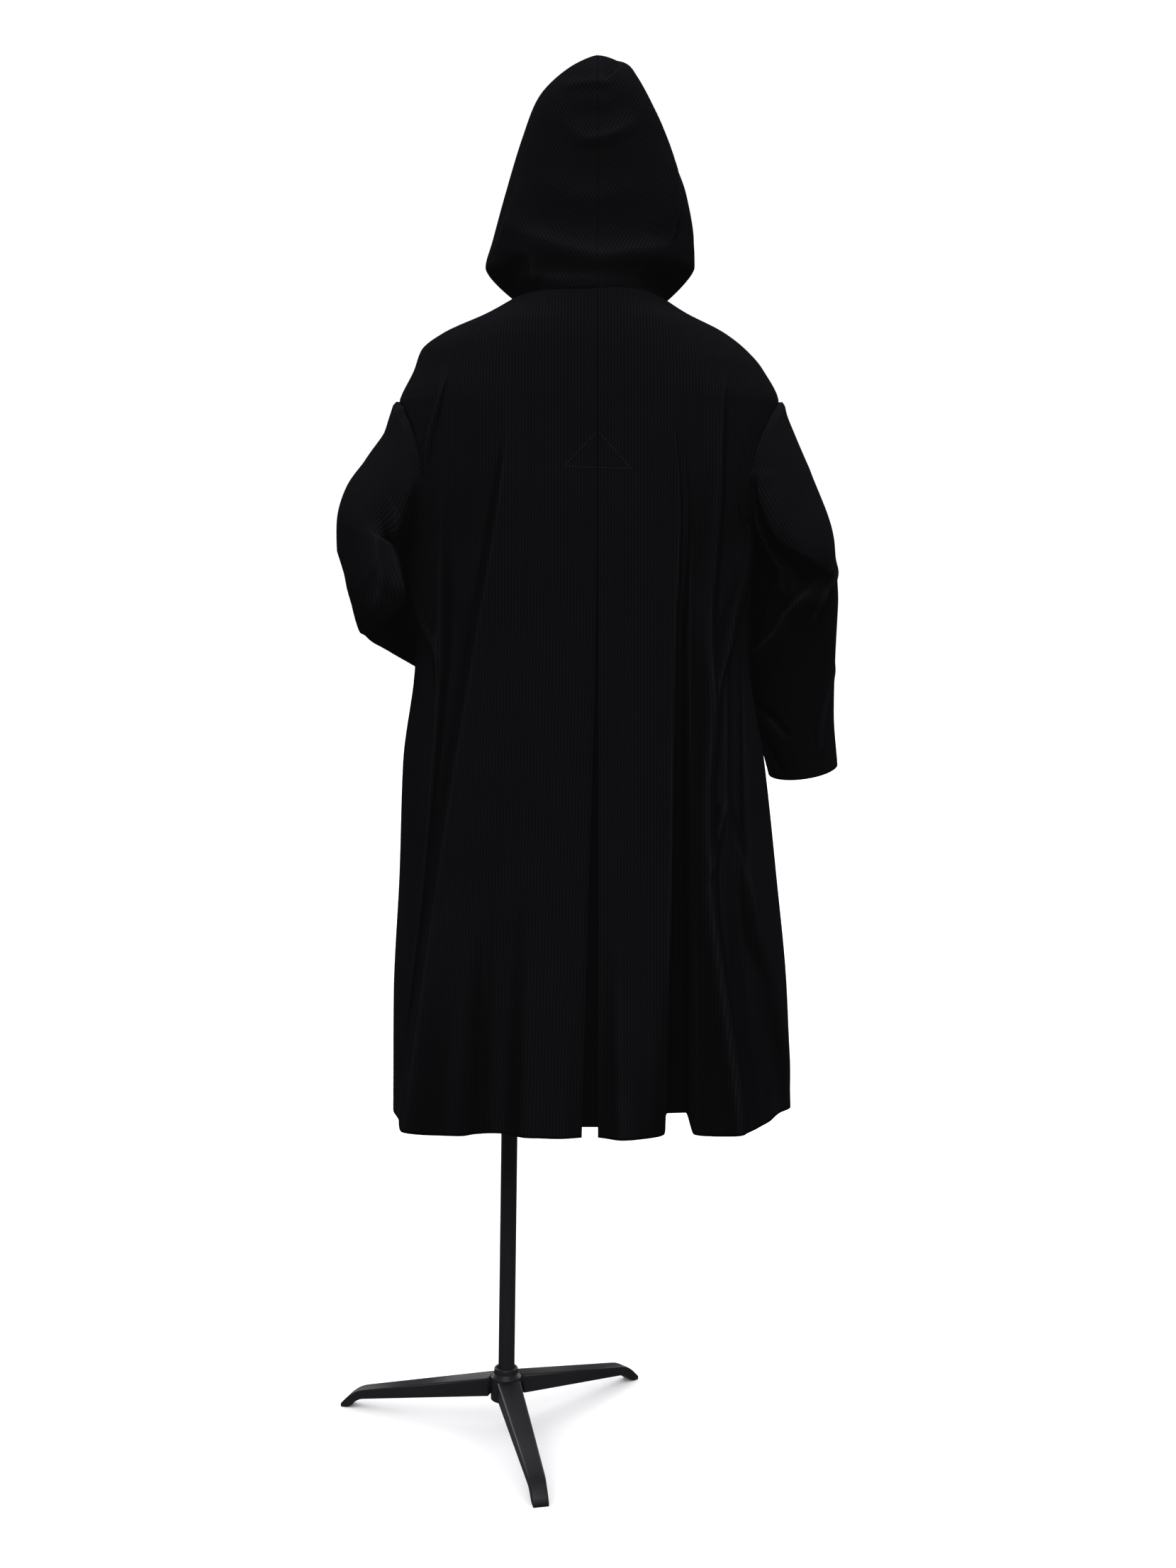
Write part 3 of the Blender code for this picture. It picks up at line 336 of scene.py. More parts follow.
# Sections along a sleeve, from the armhole to the cuff: the middle of the section, its half size
# away from the body and its half size front to back, and how much of the armhole's shape is left.
Section = namedtuple("Section", "x y z out deep armhole")
SLEEVE_LEFT = (
    Section(0.246, 0.000, 1.312, 0.058, 0.090, 1.00),
    Section(0.283, 0.008, 1.274, 0.056, 0.090, 0.55),
    Section(0.305, 0.012, 1.234, 0.048, 0.088, 0.15),
    Section(0.300, -0.004, 1.186, 0.046, 0.080, 0.00),
    Section(0.296, -0.060, 1.150, 0.045, 0.064, 0.00),
    Section(0.275, -0.130, 1.129, 0.051, 0.055, 0.00),
    Section(0.240, -0.196, 1.104, 0.053, 0.054, 0.00),
)
SLEEVE_RIGHT = (
    Section(-0.216, 0.000, 1.312, 0.056, 0.090, 1.00),
    Section(-0.242, 0.006, 1.264, 0.052, 0.088, 0.50),
    Section(-0.267, 0.000, 1.206, 0.054, 0.082, 0.12),
    Section(-0.268, -0.016, 1.146, 0.058, 0.074, 0.00),
    Section(-0.267, -0.028, 1.074, 0.058, 0.066, 0.00),
    Section(-0.272, -0.042, 0.996, 0.054, 0.060, 0.00),
    Section(-0.286, -0.056, 0.917, 0.048, 0.056, 0.00),
)


def in_front(stations):
    """A crease's stations on the front half of a sleeve: its angles counted the other way round."""
    return tuple((360 - turn, up, out) for turn, up, out in stations)


# On a sleeve across is the angle round it (0 outside, 90 at the back, 180 next to the body) and
# up the share of its length from the armhole to the cuff.
LEFT_CAP = (
    (0, 0.000, 0), (0, 0.035, -0.011), (0, 0.070, -0.020), (0, 0.144, -0.016), (0, 0.220, -0.004),
    (0, 0.300, -0.001), (0, 0.340, 0))
LEFT_TAPER = (
    (0, 0.320, 0), (0, 0.380, -0.014), (0, 0.450, -0.022), (0, 0.520, -0.019), (0, 0.600, -0.007),
    (0, 0.680, 0))
RIGHT_CAP = ((0, 0.000, 0), (0, 0.030, -0.006), (0, 0.080, -0.004), (0, 0.140, 0))

SLEEVE_LEFT_CREASES = (
    Crease("elbow edge", 0.004, 0.032, (
        (50, 0.450, 0), (58, 0.440, 0.014), (66, 0.432, 0.030), (76, 0.422, 0.042),
        (88, 0.410, 0.048), (100, 0.400, 0.050), (116, 0.390, 0.050), (124, 0.388, 0.046),
        (130, 0.392, 0.012), (138, 0.400, 0))),
    Crease("elbow hollow", 0.014, 0.009, (
        (40, 0.600, 0), (60, 0.540, -0.004), (84, 0.490, -0.008), (112, 0.475, -0.009),
        (136, 0.490, -0.008), (156, 0.530, -0.006), (176, 0.600, 0))),
    Crease("cap slope", 0.050, 0.050, LEFT_CAP),
    Crease("cap slope in front", 0.050, 0.050, in_front(LEFT_CAP)),
    Crease("elbow taper", 0.032, 0.032, LEFT_TAPER),
    Crease("taper in front", 0.032, 0.032, in_front(LEFT_TAPER)),
    Crease("long pull", 0.016, 0.009, (
        (88, 0.000, 0.001), (94, 0.015, 0.003), (104, 0.050, 0.005), (118, 0.105, 0.006),
        (122, 0.150, 0.006), (116, 0.215, 0.006), (107, 0.270, 0.006), (99, 0.305, 0.006),
        (76, 0.338, 0.005), (54, 0.360, 0.004), (38, 0.375, 0))),
    Crease("inner edge", 0.028, 0.006, (
        (143, 0.190, 0), (141, 0.240, 0.010), (136, 0.300, 0.016), (128, 0.350, 0.010),
        (122, 0.385, 0))),
    Crease("underarm", 0.036, 0.036, (
        (122, 0.010, 0.003), (136, 0.060, 0.012), (142, 0.110, 0.016), (140, 0.160, 0.012),
        (136, 0.210, 0))),
    Crease("small pull", 0.006, 0.006, (
        (112, 0.300, 0), (104, 0.335, 0.003), (96, 0.360, 0.004), (90, 0.375, 0.003),
        (82, 0.395, 0))),
    Crease("seam pucker", 0.005, 0.005, ((30, 0.000, 0.003), (34, 0.040, 0.004), (40, 0.090, 0))),
    Crease("inner front", 0.024, 0.024, (
        (205, 0.060, 0), (210, 0.120, 0.008), (212, 0.240, 0.010), (212, 0.350, 0.008),
        (208, 0.430, 0))),
    Crease("forearm", 0.010, 0.014, (
        (60, 0.700, 0), (75, 0.780, 0.003), (100, 0.860, 0.003), (120, 0.920, 0))),
    Crease("front elbow", 0.012, 0.010, (
        (250, 0.420, 0), (275, 0.470, -0.006), (310, 0.500, -0.006), (335, 0.500, 0))),
    Crease("front elbow low", 0.010, 0.012, (
        (240, 0.560, 0), (270, 0.590, 0.004), (305, 0.600, 0.004), (330, 0.580, 0))),
)
SLEEVE_RIGHT_CREASES = (
    Crease("cap slope", 0.040, 0.040, RIGHT_CAP),
    Crease("cap slope in front", 0.040, 0.040, in_front(RIGHT_CAP)),
    Crease("upper arm lip", 0.030, 0.005, (
        (86, 0.000, 0.002), (92, 0.010, 0.005), (108, 0.065, 0.009), (112, 0.120, 0.011),
        (112, 0.170, 0.012), (104, 0.215, 0.012), (92, 0.258, 0.012), (70, 0.295, 0.010),
        (50, 0.315, 0.006), (34, 0.322, 0))),
    Crease("elbow hollow", 0.008, 0.012, (
        (106, 0.020, 0), (118, 0.060, -0.006), (124, 0.120, -0.010), (124, 0.175, -0.012),
        (116, 0.230, -0.013), (104, 0.290, -0.013), (80, 0.328, -0.010), (58, 0.338, -0.005),
        (44, 0.340, 0))),
    Crease("inner pull", 0.006, 0.006, (
        (116, 0.010, 0), (130, 0.040, 0.003), (135, 0.110, 0.005), (136, 0.190, 0.006),
        (130, 0.265, 0.006), (124, 0.330, 0.005), (118, 0.370, 0))),
    Crease("inner hollow", 0.013, 0.013, (
        (142, 0.260, 0), (148, 0.310, -0.009), (156, 0.400, -0.011), (160, 0.470, -0.011),
        (168, 0.545, -0.008), (176, 0.600, 0))),
    Crease("forearm edge", 0.028, 0.005, (
        (36, 0.318, 0), (50, 0.324, 0.004), (78, 0.342, 0.008), (99, 0.368, 0.011),
        (114, 0.440, 0.012), (126, 0.515, 0.012), (150, 0.580, 0.011), (172, 0.622, 0.006),
        (186, 0.650, 0))),
    Crease("elbow pull", 0.006, 0.007, (
        (2, 0.330, 0), (20, 0.338, 0.003), (58, 0.362, 0.005), (70, 0.410, 0.005),
        (76, 0.455, 0.004), (82, 0.510, 0))),
    Crease("forearm crest", 0.010, 0.006, (
        (10, 0.640, 0), (32, 0.675, 0.003), (48, 0.745, 0.004), (58, 0.810, 0.005),
        (66, 0.900, 0.004), (69, 0.940, 0))),
    Crease("cuff nick", 0.006, 0.006, (
        (184, 0.700, 0), (178, 0.735, -0.004), (156, 0.765, -0.006), (135, 0.786, -0.006),
        (117, 0.830, -0.004), (106, 0.860, 0))),
    Crease("cuff shade", 0.008, 0.008, (
        (182, 0.800, 0), (176, 0.830, -0.005), (162, 0.866, -0.006), (144, 0.920, -0.006),
        (136, 0.960, -0.003))),
    Crease("inner front", 0.026, 0.026, (
        (205, 0.020, 0), (210, 0.090, 0.012), (212, 0.200, 0.016), (212, 0.400, 0.015),
        (212, 0.600, 0.014), (210, 0.720, 0.010), (206, 0.820, 0))),
    Crease("front elbow", 0.012, 0.010, (
        (235, 0.380, 0), (262, 0.440, -0.006), (300, 0.480, -0.006), (330, 0.480, 0))),
    Crease("front elbow low", 0.010, 0.012, (
        (228, 0.520, 0), (258, 0.570, 0.004), (296, 0.600, 0.004), (325, 0.580, 0))),
)

# Level sections of the hood from the neck seam up; edge is the angle, from the centre back,
# at which the face opening starts.
HoodRing = namedtuple("HoodRing", Ring._fields + ("edge",))
HOOD_RINGS = (
    HoodRing(1.545, 1.543, 1.452, 0.107, 0.084, 0.115, -0.066, 0.026, 2.0, 158.0),
    HoodRing(1.566, 1.566, 1.514, 0.130, 0.104, 0.1130, -0.100, 0.022, 1.9, 150.0),
    HoodRing(1.590, 1.587, 1.532, 0.148, 0.129, 0.1110, -0.140, 0.006, 2.0, 140.0),
    HoodRing(1.626, 1.624, 1.582, 0.138, 0.128, 0.1065, -0.170, 0.000, 2.1, 131.0),
    HoodRing(1.680, 1.680, 1.648, 0.122, 0.118, 0.1055, -0.190, 0.000, 2.2, 126.0),
    HoodRing(1.750, 1.750, 1.722, 0.100, 0.089, 0.1055, -0.200, 0.000, 2.2, 123.0),
    HoodRing(1.803, 1.803, 1.772, 0.078, 0.068, 0.098, -0.200, 0.000, 2.1, 122.0),
    HoodRing(1.835, 1.835, 1.800, 0.042, 0.046, 0.077, -0.200, 0.000, 2.0, 121.0),
    HoodRing(1.8445, 1.8445, 1.808, 0.019, 0.027, 0.060, -0.200, 0.000, 2.0, 120.0),
    HoodRing(1.8478, 1.8478, 1.811, 0.007, 0.007, 0.050, -0.200, 0.000, 2.0, 120.0),
    HoodRing(1.848, 1.848, 1.8112, 0.000, 0.000, 0.047, -0.200, 0.000, 2.0, 120.0),
)
HOOD_INSIDE = (0.0, -0.02, 1.66)
HOOD_SLANT = 60.0  # degrees by which the wales of the hood lean away from the level
HOOD_FINE = 50  # places between two sections at which the rise up the back is measured
HOOD_PLAIN_FROM = -0.30  # cosine of the angle from the centre back at which its creases have ended
HOOD_FADE = 0.45  # span of the cosine over which they fade out

# On the hood across is X, positive at the wearer's left, and up the height; they lie on its back.
HOOD_CREASES = (
    Crease("neck roll", 0.019, 0.012, (
        (0.122, 1.634, 0), (0.098, 1.619, 0.003), (0.060, 1.602, 0.0055), (0.025, 1.588, 0.007),
        (-0.005, 1.582, 0.0075), (-0.042, 1.588, 0.007), (-0.080, 1.597, 0.005),
        (-0.105, 1.611, 0.0025), (-0.122, 1.624, 0))),
    Crease("collar stand", 0.012, 0.007, (
        (0.086, 1.562, 0.001), (0.060, 1.555, 0.003), (0.020, 1.552, 0.0025),
        (-0.020, 1.551, 0.001), (-0.060, 1.553, 0))),
    Crease("crown hollow", 0.014, 0.014, (
        (0.040, 1.778, 0), (0.020, 1.760, -0.0025), (-0.010, 1.760, -0.003),
        (-0.034, 1.772, -0.002), (-0.048, 1.780, 0))),
    Crease("crown arc", 0.012, 0.007, (
        (0.044, 1.756, 0), (0.032, 1.744, 0.001), (0.013, 1.730, 0.003), (-0.009, 1.733, 0.0035),
        (-0.039, 1.748, 0.002), (-0.052, 1.758, 0))),
    Crease("crown ridge", 0.007, 0.009, (
        (0.048, 1.796, 0), (0.030, 1.799, 0.003), (-0.006, 1.801, 0.003), (-0.022, 1.799, 0))),
    Crease("right edge", 0.022, 0.003, (
        (-0.024, 1.838, 0), (-0.036, 1.832, 0.004), (-0.047, 1.812, 0.006), (-0.062, 1.782, 0.008),
        (-0.077, 1.751, 0.009), (-0.090, 1.718, 0.009), (-0.099, 1.685, 0.009),
        (-0.101, 1.650, 0.008), (-0.097, 1.622, 0.005), (-0.090, 1.604, 0))),
    Crease("left edge", 0.005, 0.022, (
        (0.098, 1.690, 0), (0.110, 1.655, 0.003), (0.117, 1.632, 0.005), (0.128, 1.608, 0.003),
        (0.136, 1.596, 0))),
    Crease("left neck hollow", 0.010, 0.018, (
        (0.112, 1.552, 0), (0.110, 1.560, -0.004), (0.107, 1.570, -0.005), (0.103, 1.580, -0.004),
        (0.098, 1.592, 0))),
    Crease("left neck edge", 0.007, 0.003, (
        (0.084, 1.549, 0), (0.084, 1.560, 0.003), (0.085, 1.575, 0.002), (0.086, 1.588, 0))),
    Crease("right neck hollow", 0.012, 0.007, (
        (-0.050, 1.553, 0), (-0.064, 1.558, -0.004), (-0.082, 1.561, -0.006),
        (-0.098, 1.562, -0.004), (-0.108, 1.560, 0))),
    Crease("slack", 0.020, 0.016, (
        (0.080, 1.690, 0), (0.050, 1.668, 0.002), (0.010, 1.655, 0.003), (-0.040, 1.664, 0.002),
        (-0.070, 1.684, 0))),
)

# Level sections of the dress form below and above the shoulders that carry the coat
FormRing = namedtuple("FormRing", "z front_z left right back front middle power")
FORM_NECK = (
    FormRing(1.610, 1.610, 0.050, 0.034, 0.060, -0.028, 0.016, 2.0),
    FormRing(1.604, 1.604, 0.058, 0.042, 0.066, -0.036, 0.016, 2.0),
    FormRing(1.572, 1.555, 0.060, 0.044, 0.068, -0.038, 0.016, 2.0),
    FormRing(1.544, 1.490, 0.072, 0.054, 0.075, -0.044, 0.020, 2.0),
)
FORM_SHOULDER_HEIGHTS = (1.530, 1.516, 1.502, 1.488, 1.474, 1.456)
FORM_TORSO = (
    FormRing(1.412, 1.350, 0.208, 0.178, 0.112, -0.094, 0.002, 2.3),
    FormRing(1.330, 1.290, 0.186, 0.160, 0.110, -0.104, 0.000, 2.4),
    FormRing(1.220, 1.210, 0.168, 0.144, 0.100, -0.104, 0.000, 2.3),
    FormRing(1.100, 1.100, 0.152, 0.130, 0.086, -0.090, 0.000, 2.2),
    FormRing(1.000, 1.000, 0.160, 0.136, 0.082, -0.092, 0.000, 2.3),
    FormRing(0.900, 0.900, 0.172, 0.146, 0.078, -0.096, 0.000, 2.4),
    FormRing(FORM_BOTTOM_Z, FORM_BOTTOM_Z, 0.172, 0.146, 0.076, -0.095, 0.000, 2.4),
)

# Stations along a leg of the stand, from the hub to the toe
LegStation = namedtuple("LegStation", "reach top low half_width")
LEG = (
    LegStation(HUB_RADIUS + SEAM, 0.0715, 0.0455, 0.0165),
    LegStation(0.222, 0.0275, 0.0142, 0.0112),
    LegStation(0.2355, 0.0185, 0.0000, 0.0106),
    LegStation(0.2480, 0.0055, 0.0000, 0.0102),
)
LEG_BEND = 0.010

# The cut of each cloth piece before it was sewn: width, length and flat area, and how it is held
Cut = namedtuple("Cut", "width length area held rests_on")


# Curves and folds


def glide(stations, values, at):
    """A smooth curve through a table's values: cubic pieces, held so that none overshoots."""
    x = np.asarray(stations, float)
    y = np.asarray(values, float)
    if x[0] > x[-1]:
        x, y = x[::-1], y[::-1]
    flat = y.reshape(len(x), -1)
    gap = np.diff(x)[:, None]
    rise = np.diff(flat, axis=0) / gap
    slope = np.zeros_like(flat)
    slope[0], slope[-1] = rise[0], rise[-1]
    product = rise[:-1] * rise[1:]
    total = rise[:-1] + rise[1:]
    slope[1:-1] = np.where(product > 0, 2 * product / np.where(product > 0, total, 1), 0)
    at = np.clip(np.asarray(at, float), x[0], x[-1])
    i = np.clip(np.searchsorted(x, at, side="right") - 1, 0, len(x) - 2)
    t = ((at - x[i]) / np.diff(x)[i])[:, None]
    h = gap[i]
    out = (
        (1 + 2 * t) * (1 - t) ** 2 * flat[i]
        + t * (1 - t) ** 2 * h * slope[i]
        + t**2 * (3 - 2 * t) * flat[i + 1]
        + t**2 * (t - 1) * h * slope[i + 1]
    )
    return out.reshape((len(at),) + y.shape[1:])


def ease(t):
    """0 to 1 with level ends."""
    t = np.clip(t, 0, 1)
    return t * t * (3 - 2 * t)


def crease_relief(creases, across, up, scale=(1.0, 1.0)):
    """How far the creases move the cloth: over each crease's line, followed in short straight
    pieces, the nearest place gives the height, which falls off to both sides as a bell of
    the width of that side. The scale turns a table's places into metres on the cloth, and
    all is taken by the share of the crease depth set."""
    relief = np.zeros(np.broadcast(across, up).shape)
    for crease in creases:
        table = np.array(crease.stations, float) * np.array([scale[0], scale[1], 1.0])
        span = np.concatenate([[0], np.cumsum(np.hypot(*np.diff(table[:, :2], axis=0).T))])
        line = glide(span, table, np.linspace(0, span[-1], CREASE_STEPS + 1))
        nearest = np.full(relief.shape, np.inf)
        lift = np.zeros(relief.shape)
        for (x, y, a), (run_x, run_y, rise) in zip(line, np.diff(line, axis=0)):
            off_x, off_y = across - x, up - y
            t = np.clip((off_x * run_x + off_y * run_y) / (run_x**2 + run_y**2), 0, 1)
            off_x, off_y = off_x - t * run_x, off_y - t * run_y
            width = np.where(run_x * off_y > run_y * off_x, crease.left, crease.right)
            far = np.hypot(off_x, off_y)
            value = (a + t * rise) * np.exp(-((far / width) ** 2))
            lift = np.where(far < nearest, value, lift)
            nearest = np.minimum(nearest, far)
        relief += lift
    return relief * bpy.context.scene.coat_settings.crease_depth


def normals_of(points, wrap=False):
    """Unit normals of a grid from the differences along its rows and columns."""
    if wrap:
        padded = np.concatenate([points[:, -1:], points, points[:, :1]], 1)
        across = np.gradient(padded, axis=1)[:, 1:-1]
    else:
        across = np.gradient(points, axis=1)
    normal = np.cross(np.gradient(points, axis=0), across)
    return normal / np.maximum(np.linalg.norm(normal, axis=-1, keepdims=True), 1e-12)


def outward(points, inside, wrap=False):
    """Normals of a grid that point away from the given inside points."""
    normal = normals_of(points, wrap)
    return normal * np.sign(np.sum(normal * (points - inside)))


def bend(points, inside, wrap=False):
    """How sharply the cloth bends: 1 on a crest as tight as the fold radius, -1 in such a valley,
    from the turn of the normals over the steps across and along; wide bends count as 0."""
    if wrap:
        points = np.concatenate([points[:, -3:], points, points[:, :3]], 1)
        inside = np.concatenate([inside[:, -3:], inside, inside[:, :3]], 1)
    normal = outward(points, inside)
    turn = np.zeros(points.shape[:2])
    for axis in (0, 1):
        step = np.gradient(points, axis=axis)
        length = np.maximum(np.sum(step**2, axis=-1), 1e-10)
        turn += np.sum(step * np.gradient(normal, axis=axis), axis=-1) / length
    turn = turn[:, 3:-3] if wrap else turn
    sharp = np.abs(turn) * FOLD_RADIUS - FOLD_WIDE
    return np.sign(turn) * np.clip(sharp, 0, 1)


def painted_wall_shade(points, plain):
    """Painted shade on the walls of folds: rising from 0 where the cloth faces as the
    plain form does, with the angle between the two."""
    both = outward(points, axis_inside(points)) * outward(plain, axis_inside(plain))
    angle = np.degrees(np.arccos(np.clip(np.sum(both, axis=-1), -1, 1)))
    return WALL_SHADE * ease((angle - WALL_FROM) / (WALL_FULL - WALL_FROM))


def axis_inside(points):
    """The point of the coat's upright axis level with each point."""
    return points * np.array([0.0, 0.0, 1.0])


def running_length(points, axis):
    """Length along the grid's lines from their first point, in that direction."""
    step = np.linalg.norm(np.diff(points, axis=axis), axis=-1)
    start = np.zeros_like(np.take(step, [0], axis=axis))
    return np.concatenate([start, np.cumsum(step, axis=axis)], axis=axis)


# Forms of the cloth


def body_rows(heights):
    """The level sections at the given side heights, as a Ring of columns, one row a height."""
    table = np.array(BODY_RINGS)
    return Ring(*glide(table[:, Ring._fields.index("side_z")], table, heights).T[:, :, None])


def on_ring(ring, angle):
    """Points of a section: a rounded oval whose half sizes differ left, right, back and front.
    The angle is 0 at the centre back, +90 degrees at the wearer's left and 180 at the front."""
    s, c = np.sin(angle), np.cos(angle)
    half = np.where(s >= 0, ring.left, ring.right)
    depth = np.where(c >= 0, ring.back - ring.middle, ring.middle - ring.front)
    end_z = np.where(c >= 0, ring.back_z, ring.front_z)
    x = half * np.sign(s) * np.abs(s) ** (2 / ring.power)
    y = ring.middle + depth * np.sign(c) * np.abs(c) ** (2 / ring.power)
    z = ring.side_z + (end_z - ring.side_z) * c**2
    return np.stack([x, y, z], -1)


def body_heights():
    """Heights of the mesh rows, neck to hem, with the armhole spaced as an oval's points."""
    turn = np.linspace(0, np.pi, ARMHOLE_STEPS + 1)
    depth = ARMHOLE_TOP_Z - ARMHOLE_LOW_Z
    above = np.linspace(NECK_Z, ARMHOLE_TOP_Z, SHOULDER_STEPS + 1)[:-1]
    armhole = ARMHOLE_TOP_Z - depth * (1 - np.cos(turn)) / 2
    below = np.linspace(ARMHOLE_LOW_Z, HEM_Z, SKIRT_STEPS + 1)[1:]
    return np.concatenate([above, armhole, below])


def armhole_share(heights):
    """0 outside the armhole, rising to 1 half way down it along an oval."""
    s = (ARMHOLE_TOP_Z - heights) / (ARMHOLE_TOP_Z - ARMHOLE_LOW_Z)
    return np.sqrt(np.clip(4 * s * (1 - s), 0, 1))


def panel(piece, heights, columns):
    """A panel's points with the folds and its plain points without. Each fold line keeps its
    distance from the centre and stands out along Y; between the lines the angle round the
    section and the relief glide, and at the armhole the edge draws back."""
    lines, _, side, facing, _ = piece
    rows = body_rows(heights)
    table = np.array([line[1:] for line in lines], float)
    low = np.minimum(heights, YOKE_Z)
    reach = glide(LINE_HEIGHTS, table[:, :5].T, low)
    relief = glide(LINE_HEIGHTS, np.vstack([np.zeros(len(lines)), table[:, 5:].T]), low)
    half = rows.left if side > 0 else rows.right
    yoke = body_rows(np.array([YOKE_Z]))
    yoke_half = yoke.left if side > 0 else yoke.right
    reach = np.where(heights[:, None] > YOKE_Z, reach * half / yoke_half, reach)
    share = np.clip(np.abs(reach) / half, 0, LINE_REACH)
    angle = np.sign(reach) * np.arcsin(share ** (rows.power / 2))
    angle = np.hstack([angle, np.full((len(heights), 1), np.pi / 2)])
    relief = np.hstack([relief, np.zeros((len(heights), 1))])
    drawn = np.radians(ARMHOLE_BACK if facing > 0 else ARMHOLE_FRONT) * armhole_share(heights)
    edge = np.pi / 2 - drawn
    angle[:, -1] = edge
    for back_from_edge, spacing in enumerate(ARMHOLE_SPACING):
        column = -2 - back_from_edge
        angle[:, column] = np.minimum(angle[:, column], edge - np.radians(spacing))
    at_line = np.arange(len(lines) + 1)
    angle = glide(at_line, angle.T, columns).T
    relief = glide(at_line, relief.T, columns).T
    turned = angle if facing > 0 else np.pi - angle
    plain = on_ring(rows, side * turned)
    plain[..., 0] += side * SEAM / 2
    points = plain.copy()
    points[..., 1] += facing * relief
    points[:, -1, 1] += facing * SEAM / 2
    return points, plain


def panel_columns(piece):
    """Mesh columns counted in fold lines, the same number between each two."""
    return np.linspace(0, len(piece.lines), len(piece.lines) * piece.steps + 1)


def edge_roll(points, first, first_width):
    """How far a panel turns in along its centre edge, its side and its neck edge: a bell over the
    distance from each edge. The centre edge has its own depth and width for each row."""
    run = running_length(points, 1)
    fall = running_length(points, 0)
    roll = first[:, None] * np.exp(-((run / first_width[:, None]) ** 2))
    roll = roll + SEAM_ROLL * np.exp(-(((run[:, -1:] - run) / SEAM_ROLL_WIDTH) ** 2))
    return np.maximum(roll, SEAM_ROLL * np.exp(-((fall / SEAM_ROLL_WIDTH) ** 2)))


def dressed_panel(name):
    """A panel with its creases and rolled edges, its places on the cut: the length across the
    wales from the centre edge, measured without the folds, and the height, and the painted shade
    on its fold walls."""
    piece = PANELS[name]
    heights = body_heights()
    points, plain = panel(piece, heights, panel_columns(piece))
    relief = crease_relief(piece.creases, np.abs(points[..., 0]), points[..., 2])
    if piece.facing > 0:
        opening = ease((TRIANGLE_BASE_Z - heights) / (TRIANGLE_BASE_Z - WAIST_Z))
        first = CENTRE_ROLL + (PLEAT_ROLL - CENTRE_ROLL) * opening
        width = SEAM_ROLL_WIDTH + (PLEAT_ROLL_WIDTH - SEAM_ROLL_WIDTH) * opening
    else:
        first = np.full(len(heights), SEAM_ROLL / 2)
        width = np.full(len(heights), SEAM_ROLL_WIDTH)
    away = outward(points, axis_inside(points))
    # Painted shade on the walls of folds, from how far the creases turn the cloth
    walls = painted_wall_shade(points + away * relief[..., None], plain)
    relief -= edge_roll(points, first, width)
    if name == "front_right":
        relief -= LAP_DROP * ease((points[..., 0] + LAP + LAP_RAMP) / LAP_RAMP)
    points = points + away * relief[..., None]
    cut = np.stack([running_length(plain, 1), plain[..., 2]], -1)
    return points, cut, walls


def underlay_grid():
    """The strip behind the back pleat: a trough that deepens from the triangle to the hem."""
    heights = np.linspace(PLEAT_TOP_Z, HEM_Z, UNDERLAY_ROWS)
    rows = body_rows(heights)
    table = np.array([BACK_LEFT_LINES[0][1:6], BACK_RIGHT_LINES[0][1:6]], float)
    edges = glide(LINE_HEIGHTS, table.T, heights)
    low = -edges[:, 1] - UNDERLAY_FLANGE
    high = edges[:, 0] + UNDERLAY_FLANGE
    across = np.linspace(0, 1, UNDERLAY_COLUMNS)
    x = low[:, None] + (high - low)[:, None] * across
    share = np.abs(x) / np.where(x >= 0, rows.left, rows.right)
    base = rows.middle + (rows.back - rows.middle) * (1 - share**rows.power) ** (1 / rows.power)
    down = (PLEAT_TOP_Z - heights) / (PLEAT_TOP_Z - HEM_Z)
    deeper = UNDERLAY_DEPTH_HEM - UNDERLAY_DEPTH_TOP
    depth = UNDERLAY_DEPTH_TOP + deeper * down**UNDERLAY_GROWTH
    trough = ease(np.minimum(across, 1 - across) / UNDERLAY_SLOPE)
    y = base - UNDERLAY_BEHIND - PLEAT_ROLL * down[:, None] ** 0.5 - depth[:, None] * trough
    z = np.broadcast_to(heights[:, None], x.shape)
    points = np.stack([x, y, z], -1)
    return points, np.stack([x, z], -1)


def armhole_loop(side):
    """The armhole as a closed line: from the top down the back panel's edge and up the front's."""
    heights = body_heights()[SHOULDER_STEPS : SHOULDER_STEPS + ARMHOLE_STEPS + 1]
    back, front = (
        panel(piece, heights, panel_columns(piece)[-1:])[0][:, 0]
        for piece in PANELS.values()
        if piece.side == side
    )
    back[[0, -1]] = (back[[0, -1]] + front[[0, -1]]) / 2
    return np.concatenate([back, front[-2:0:-1]])


